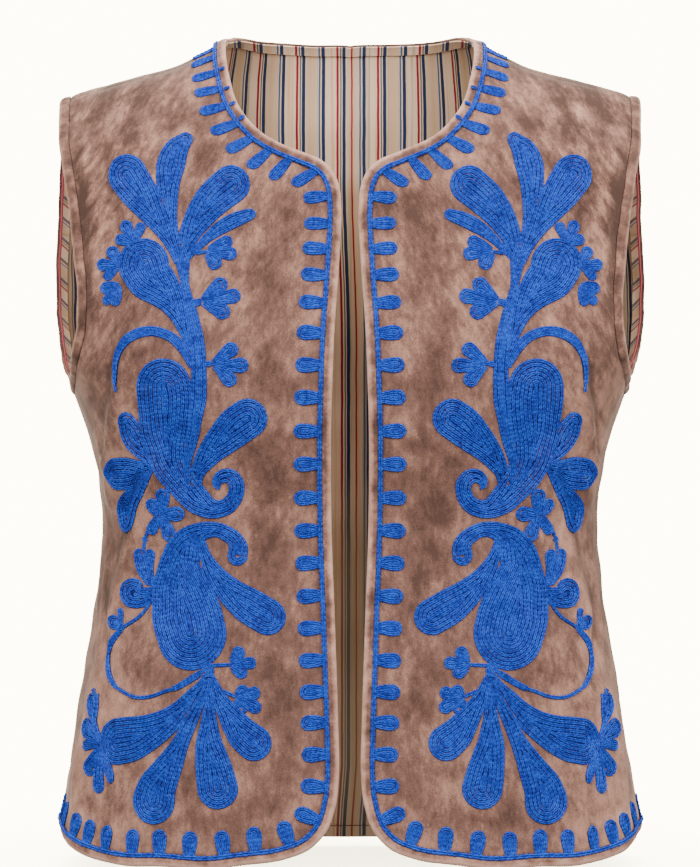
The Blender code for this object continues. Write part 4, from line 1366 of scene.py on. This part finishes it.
LOWER_SPRAY = (
    (CURL, (73, 344.5, 6.8), (72.5, 339.5, 6.2), (75, 334, 5.4), (79, 331, 5.2),
     (85.5, 328, 4.9), (92.5, 328, 5.5), (99, 330.5, 7.2), (104.5, 335, 9.4),
     (107.5, 341, 11.4), (110, 349, 13), (110, 357.5, 16.3), (109.5, 365.5, 19.2),
     (108, 374, 21.3), (106, 383.5, 22.9), (103, 395, 22.8)),
    (DROP, (96, 333, 2), (95, 341, 3.3), (92, 349, 4.6), (86, 358.5, 6.5), (77.5, 368, 9.2),
     (66, 377, 11.7), (53.5, 384.5, 12)),
    (BAND, (97, 412.5, 5), (91.5, 418, 3.5), (91, 424, 3)),
    # the fan
    (DROP, (91.5, 420.5, 1.6), (91, 439, 2.9), (91.5, 448, 4.6), (91.5, 457, 6.5),
     (91.5, 466, 8.6), (90, 475.5, 10.7), (88, 485.5, 12.3), (86, 496, 13.3)),
    (DROP, (90.5, 420.5, 1.6), (87, 431, 3.6), (84, 439, 5.3), (79, 447, 7.2),
     (74, 454.5, 9.2), (68.5, 461.5, 11), (62.5, 466.5, 11.7)),
    (DROP, (92.5, 420.5, 1.6), (94, 432.5, 2.6), (98.5, 442, 3.6), (104, 453, 4.7),
     (109, 464.5, 5.4), (115, 476.5, 7.9), (121, 488, 10.8), (125.5, 497, 12.9),
     (127.5, 504.5, 13.7)),
    (DROP, (92, 420, 1.6), (96.5, 429, 3.3), (102.5, 436.5, 5.2), (111.5, 446.5, 7.2),
     (121.5, 454.5, 9.4), (132.5, 460.5, 12.3), (142.5, 464, 14.8), (150.5, 465.5, 15.3)),
    # small leaves towards the front edge
    (BAND, (89, 416, 1.6), (83, 416, 2), (77, 415.5, 1.8)),
    (DROP, (77, 415.5, 1.6), (71, 415, 3.4), (65, 414.5, 4.4)),
    (DROP, (77.5, 414, 1.6), (72.5, 408, 4.6)),
    (DROP, (77.5, 417, 1.6), (71, 420.5, 4.6)),
    (BAND, (83, 432.5, 1.6), (78.5, 434.5, 1.8), (74, 436.5, 1.6)),
    (DROP, (74.5, 437, 1.6), (70, 433, 4.6)),
    (DROP, (74.5, 437, 1.6), (68, 435.5, 3.6), (62.5, 434, 4.6)),
    (DROP, (74.5, 437, 1.6), (68, 440, 3.6), (62, 443, 4.7)),
    (DROP, (74.5, 437, 1.6), (70, 442.5, 5.1)),
    # the flower, its stalk and spike
    (DROP, (122, 318.5, 2.6), (116, 317.5, 4.6), (112, 317.5, 5.2)),
    (DROP, (122, 318.5, 2.2), (120.5, 309.5, 3.8), (120.5, 305, 4.4)),
    (DROP, (123, 318.5, 1.8), (125.5, 313.5, 3.6), (126.5, 311, 3.8)),
    (DROP, (122, 318.5, 1.8), (118.5, 326, 3.9), (117, 330.5, 4.6)),
    (DROP, (123, 318.5, 1.8), (125.5, 324.5, 3.3), (127, 327.5, 3.4)),
    (BAND, (126, 324, 1.2), (130, 329.5, 1.6), (132, 337, 1.6), (132.5, 343, 1.5)),
    # the bud, the leaf and the thin stem beside the side seam
    (BAND, (131, 361, 2), (126.5, 364.5, 2.5), (125, 367, 2)),
    (DROP, (130, 363.5, 2), (133, 353, 4), (134.5, 344, 3.3)),
    (DROP, (128.5, 363.5, 2), (130, 353, 3.3), (129, 344, 3.3)),
    (DROP, (125.5, 366, 1.6), (131, 370, 4.9), (136, 371.5, 7.6), (139, 369.5, 9)),
    (BAND, (125.5, 367.5, 1.6), (130.5, 376, 1.6), (135, 382.5, 1.6), (140, 387, 1.6),
     (145.5, 391, 1.6), (149.5, 395.5, 1.6), (153, 401, 1.6), (155.5, 408.5, 1.6),
     (156, 416, 1.6), (154.5, 424, 1.6), (151, 430, 1.6), (146, 434, 1.6),
     (140.5, 436.5, 1.6), (135, 437, 1.6), (128.5, 436, 1.7), (121, 433, 1.9),
     (113, 430.5, 2.1), (105, 426, 2.3), (98.5, 422, 2.3), (94, 418.5, 1.6)),
    (DROP, (147, 392.5, 1.5), (150.5, 388.5, 3.8)),
    (DROP, (146.5, 391.5, 1.2), (147, 381, 1.7)),
    # the side sprig
    (DROP, (160.5, 466, 1.4), (162.5, 459, 1.4), (163.5, 452.5, 1.6), (164, 447, 2.9),
     (164.5, 441, 3.8)),
    (DROP, (164, 439, 1.2), (164, 433.5, 1.4)),
    (DROP, (162.5, 441.5, 1.2), (162, 436.5, 1.4)),
    (DROP, (160, 468, 1.5), (165, 467.5, 3.1), (169, 468, 3.9)),
    (DROP, (160, 467, 1.5), (165, 461.5, 3.1), (168.5, 457, 3.9)),
    (DROP, (160, 469.5, 1.5), (162, 484, 2.8), (162.5, 494.5, 3.3)),
    (DROP, (159.5, 469.5, 1.5), (157, 482, 2.8), (154.5, 489, 3.2)),
    (DROP, (160.5, 469, 1.5), (163.5, 476, 3.3), (167, 482.5, 3.6)),
)

levels = np.linspace(-0.02, -0.556, 135)
shares = np.linspace(0, 1, 241)
arcs = np.arange(0, 0.32, 0.001)
level_grid, share_grid = np.meshgrid(levels, shares, indexing="ij")
arc_at = run_of(form(share_grid, down_at(share_grid, level_grid)))
share_at = np.stack([np.interp(arcs, line, shares) for line in arc_at])


def looked_up(table, row, column):
    """A table's values between its rows and columns."""
    row = np.clip(row, 0, table.shape[0] - 1.001)
    column = np.clip(column, 0, table.shape[1] - 1.001)
    r, c = row.astype(int), column.astype(int)
    u, v = row - r, column - c
    upper = table[r, c] * (1 - v) + table[r, c + 1] * v
    lower = table[r + 1, c] * (1 - v) + table[r + 1, c + 1] * v
    return upper * (1 - u) + lower * u


def level_row(height):
    return (height - levels[0]) / (levels[1] - levels[0])


def spread_flat(drawn):
    """The front smoothed out flat: (arc from the centre, height) of points as they are drawn."""
    y = np.full(len(drawn), -0.09)
    for _ in range(6):
        scale = (y - EYE[1]) / DRAWN_FROM
        x, z = drawn[:, 0] * scale, EYE[2] + (drawn[:, 1] - EYE[2]) * scale
        across = across_at(x, z, FAR_ASIDE)
        y = form(across, down_at(across, z))[:, 1]
    return np.stack([looked_up(arc_at, level_row(z), across * (len(shares) - 1)), z], axis=-1)


def on_cloth(flat):
    """Places on the form of points on the smoothed-out front."""
    across = looked_up(share_at, level_row(flat[:, 1]), flat[:, 0] / arcs[1])
    return np.stack([across, down_at(across, flat[:, 1])], axis=-1)


def leaf_shape(points):
    """A leaf's spine and half-widths on the smoothed-out front."""
    drawn = np.array(points) * (0.001, -0.001, 0.001)
    run = run_of(drawn[:, :2])
    at = np.linspace(0, run[-1], max(6, int(run[-1] / FINE_STEP)))
    *spine, half = (smooth(np.stack([run, column], axis=-1), at) for column in drawn.T)
    spine = np.stack(spine, axis=-1)
    aside = spine_ways(spine)[1] * np.maximum(half, THINNEST_LEAF)[:, None]
    one, other = spread_flat(spine + aside), spread_flat(spine - aside)
    return (one + other) / 2, np.linalg.norm(one - other, axis=1) / 2


def inside(points, outline):
    """Which points lie inside a closed outline."""
    found = np.zeros(len(points), bool)
    low, high = outline.min(axis=0), outline.max(axis=0)
    near = np.flatnonzero(((points > low) & (points < high)).all(axis=1))
    if len(near):
        x, y = points[near, 0][:, None], points[near, 1][:, None]
        (x0, y0), (x1, y1) = outline.T, np.roll(outline, -1, axis=0).T
        spans = (y0 > y) != (y1 > y)
        rise = np.where(y1 == y0, 1e-12, y1 - y0)
        found[near] = (spans & (x < x0 + (y - y0) / rise * (x1 - x0))).sum(axis=1) % 2 == 1
    return found


def spray_lines(leaves):
    """The rows of a spray, each cut where it runs under a leaf that was worked before it.

    With them come the leaves' spines and the half-widths that are covered along each.
    """
    lines, outlines, spines = [], [], []
    for (round_head, round_start), *points in leaves:
        middle, half = leaf_shape(points)
        for row in offset_rows(middle, half, round_head, round_start):
            row = resampled(row, ROW_STEP)
            covered = np.zeros(len(row), bool)
            for outline in outlines:
                covered |= inside(row, outline)
            for a, b in stretches(~covered):
                if (b - a) * ROW_STEP > SHORTEST_CUT_ROW * LINK:
                    lines.append(on_cloth(row[a:b]))
        every = np.unique(np.linspace(0, len(middle) - 1, max(4, len(middle) // 4)).astype(int))
        spine = middle[every]
        covered = np.clip(half[every] - LEAF_BED_INSIDE, THINNEST_BED, WIDEST_BED)
        if round_head:
            tip = spine[-1] + unit(spine[-1] - spine[-2]) * TIP_SHARE * half[-1]
            spine, covered = np.vstack([spine, tip]), np.append(covered, THINNEST_BED)
        spines.append((on_cloth(spine), covered, half.max() > WIDE_LEAF))
        kept = np.maximum(half - LEAF_CUT_INSIDE, THINNEST_CUT)
        ahead, aside = spine_ways(middle)
        angle = np.linspace(0, np.pi, 16)[1:-1, None]
        ends = []
        for at, rounded in ((-1, round_head), (0, round_start)):
            turn = np.cos(angle) * aside[at] + np.sin(angle) * ahead[at]
            ends.append(middle[at] + kept[at] * turn if rounded else middle[at][None])
        up, back = middle + aside * kept[:, None], middle - aside * kept[:, None]
        outlines.append(np.concatenate([up, ends[0], back[::-1], ends[1][::-1]]))
    return lines, spines


for name, leaves in (("upper", UPPER_SPRAY), ("lower", LOWER_SPRAY)):
    lines, spines = spray_lines(leaves)
    for side, turned in SIDES:
        embroider(
            f"spray_{name}_{side}", f"front_{side}", lines, turned=turned, laid_under=spines
        )


def paint_light_and_shade(panel, stitching, places):
    """Paints highlight on a panel's nap beside its stitching and on its creases, and shade
    elsewhere.
    """
    stitches = np.concatenate([points_and_corners(piece.data)[0][::4] for piece in stitching])
    tree = kdtree.KDTree(len(stitches))
    for k, point in enumerate(stitches):
        tree.insert(point, k)
    tree.balance()
    points, corners = points_and_corners(panel.data)
    away = np.array([tree.find(point)[2] for point in points])
    rim = np.exp(-(((away - RIM_AWAY) / RIM_WIDTH) ** 2)) * RIM_LIGHT
    field_shade = np.clip((away - FIELD_FROM) / (FIELD_TO - FIELD_FROM), 0, 1) * FIELD_DARK
    across, z = places[..., 0], form(places[..., 0], places[..., 1])[..., 2]
    front = places[..., 1] > 0
    crest = crease_height(across, z, front)
    past = crease_height(across - np.sign(across) * CREST_TO_SHADE, z, front)
    crease_light_and_shade = np.clip(crest / CREST, 0, 1) * CREST_LIGHT - np.clip(past / CREST, 0, 1) * CREST_SHADE
    marks = np.stack([rim - field_shade + out_and_back(crease_light_and_shade, crease_light_and_shade).ravel(), away], axis=-1)
    layer = panel.data.uv_layers.new(name="cloth")
    layer.data.foreach_set("uv", marks[corners].ravel())


# Painted highlight and shade on each velvet panel from its stitching and creases.
for panel, stitching in embroidery.items():
    paint_light_and_shade(cut_pieces[panel], stitching, shapes[panel])

# Every cut piece is a sheet of cloth: the size it was cut to, with its seam allowances, and what it
# hangs from or is folded over. The stitching goes with the velvet that it is worked on.
CUTS = {  # flat width and length, the shaped panels' flat area, how it is held, what holds it
    "front": ((0.235, 0.545), 0.099, "hung", "back"),
    "back": ((0.475, 0.560), 0.240, "hung", "root"),
    "lining_front": ((0.235, 0.545), 0.098, "hung", "front"),
    "lining_back": ((0.475, 0.560), 0.236, "hung", "back"),
    "band_front": ((0.018, 0.885), None, "folded", "front"),
    "band_armhole": ((0.018, 0.530), None, "folded", "front"),
    "band_back_neck": ((0.018, 0.255), None, "folded", "back"),
    "band_back_hem": ((0.018, 0.490), None, "folded", "back"),
    "facing_back_neck": ((0.011, 0.235), None, "folded", "lining_back"),
    "facing_back_hem": ((0.011, 0.470), None, "folded", "lining_back"),
    "facing_armhole": ((0.012, 0.490), None, "folded", "lining_front"),
}
for node, piece in cut_pieces.items():
    side = next((end for end in ("_left", "_right") if node.endswith(end)), "")
    flat, area, held, on = CUTS[node.removesuffix(side)]
    rests_on = [on + side if on.endswith("front") else on]
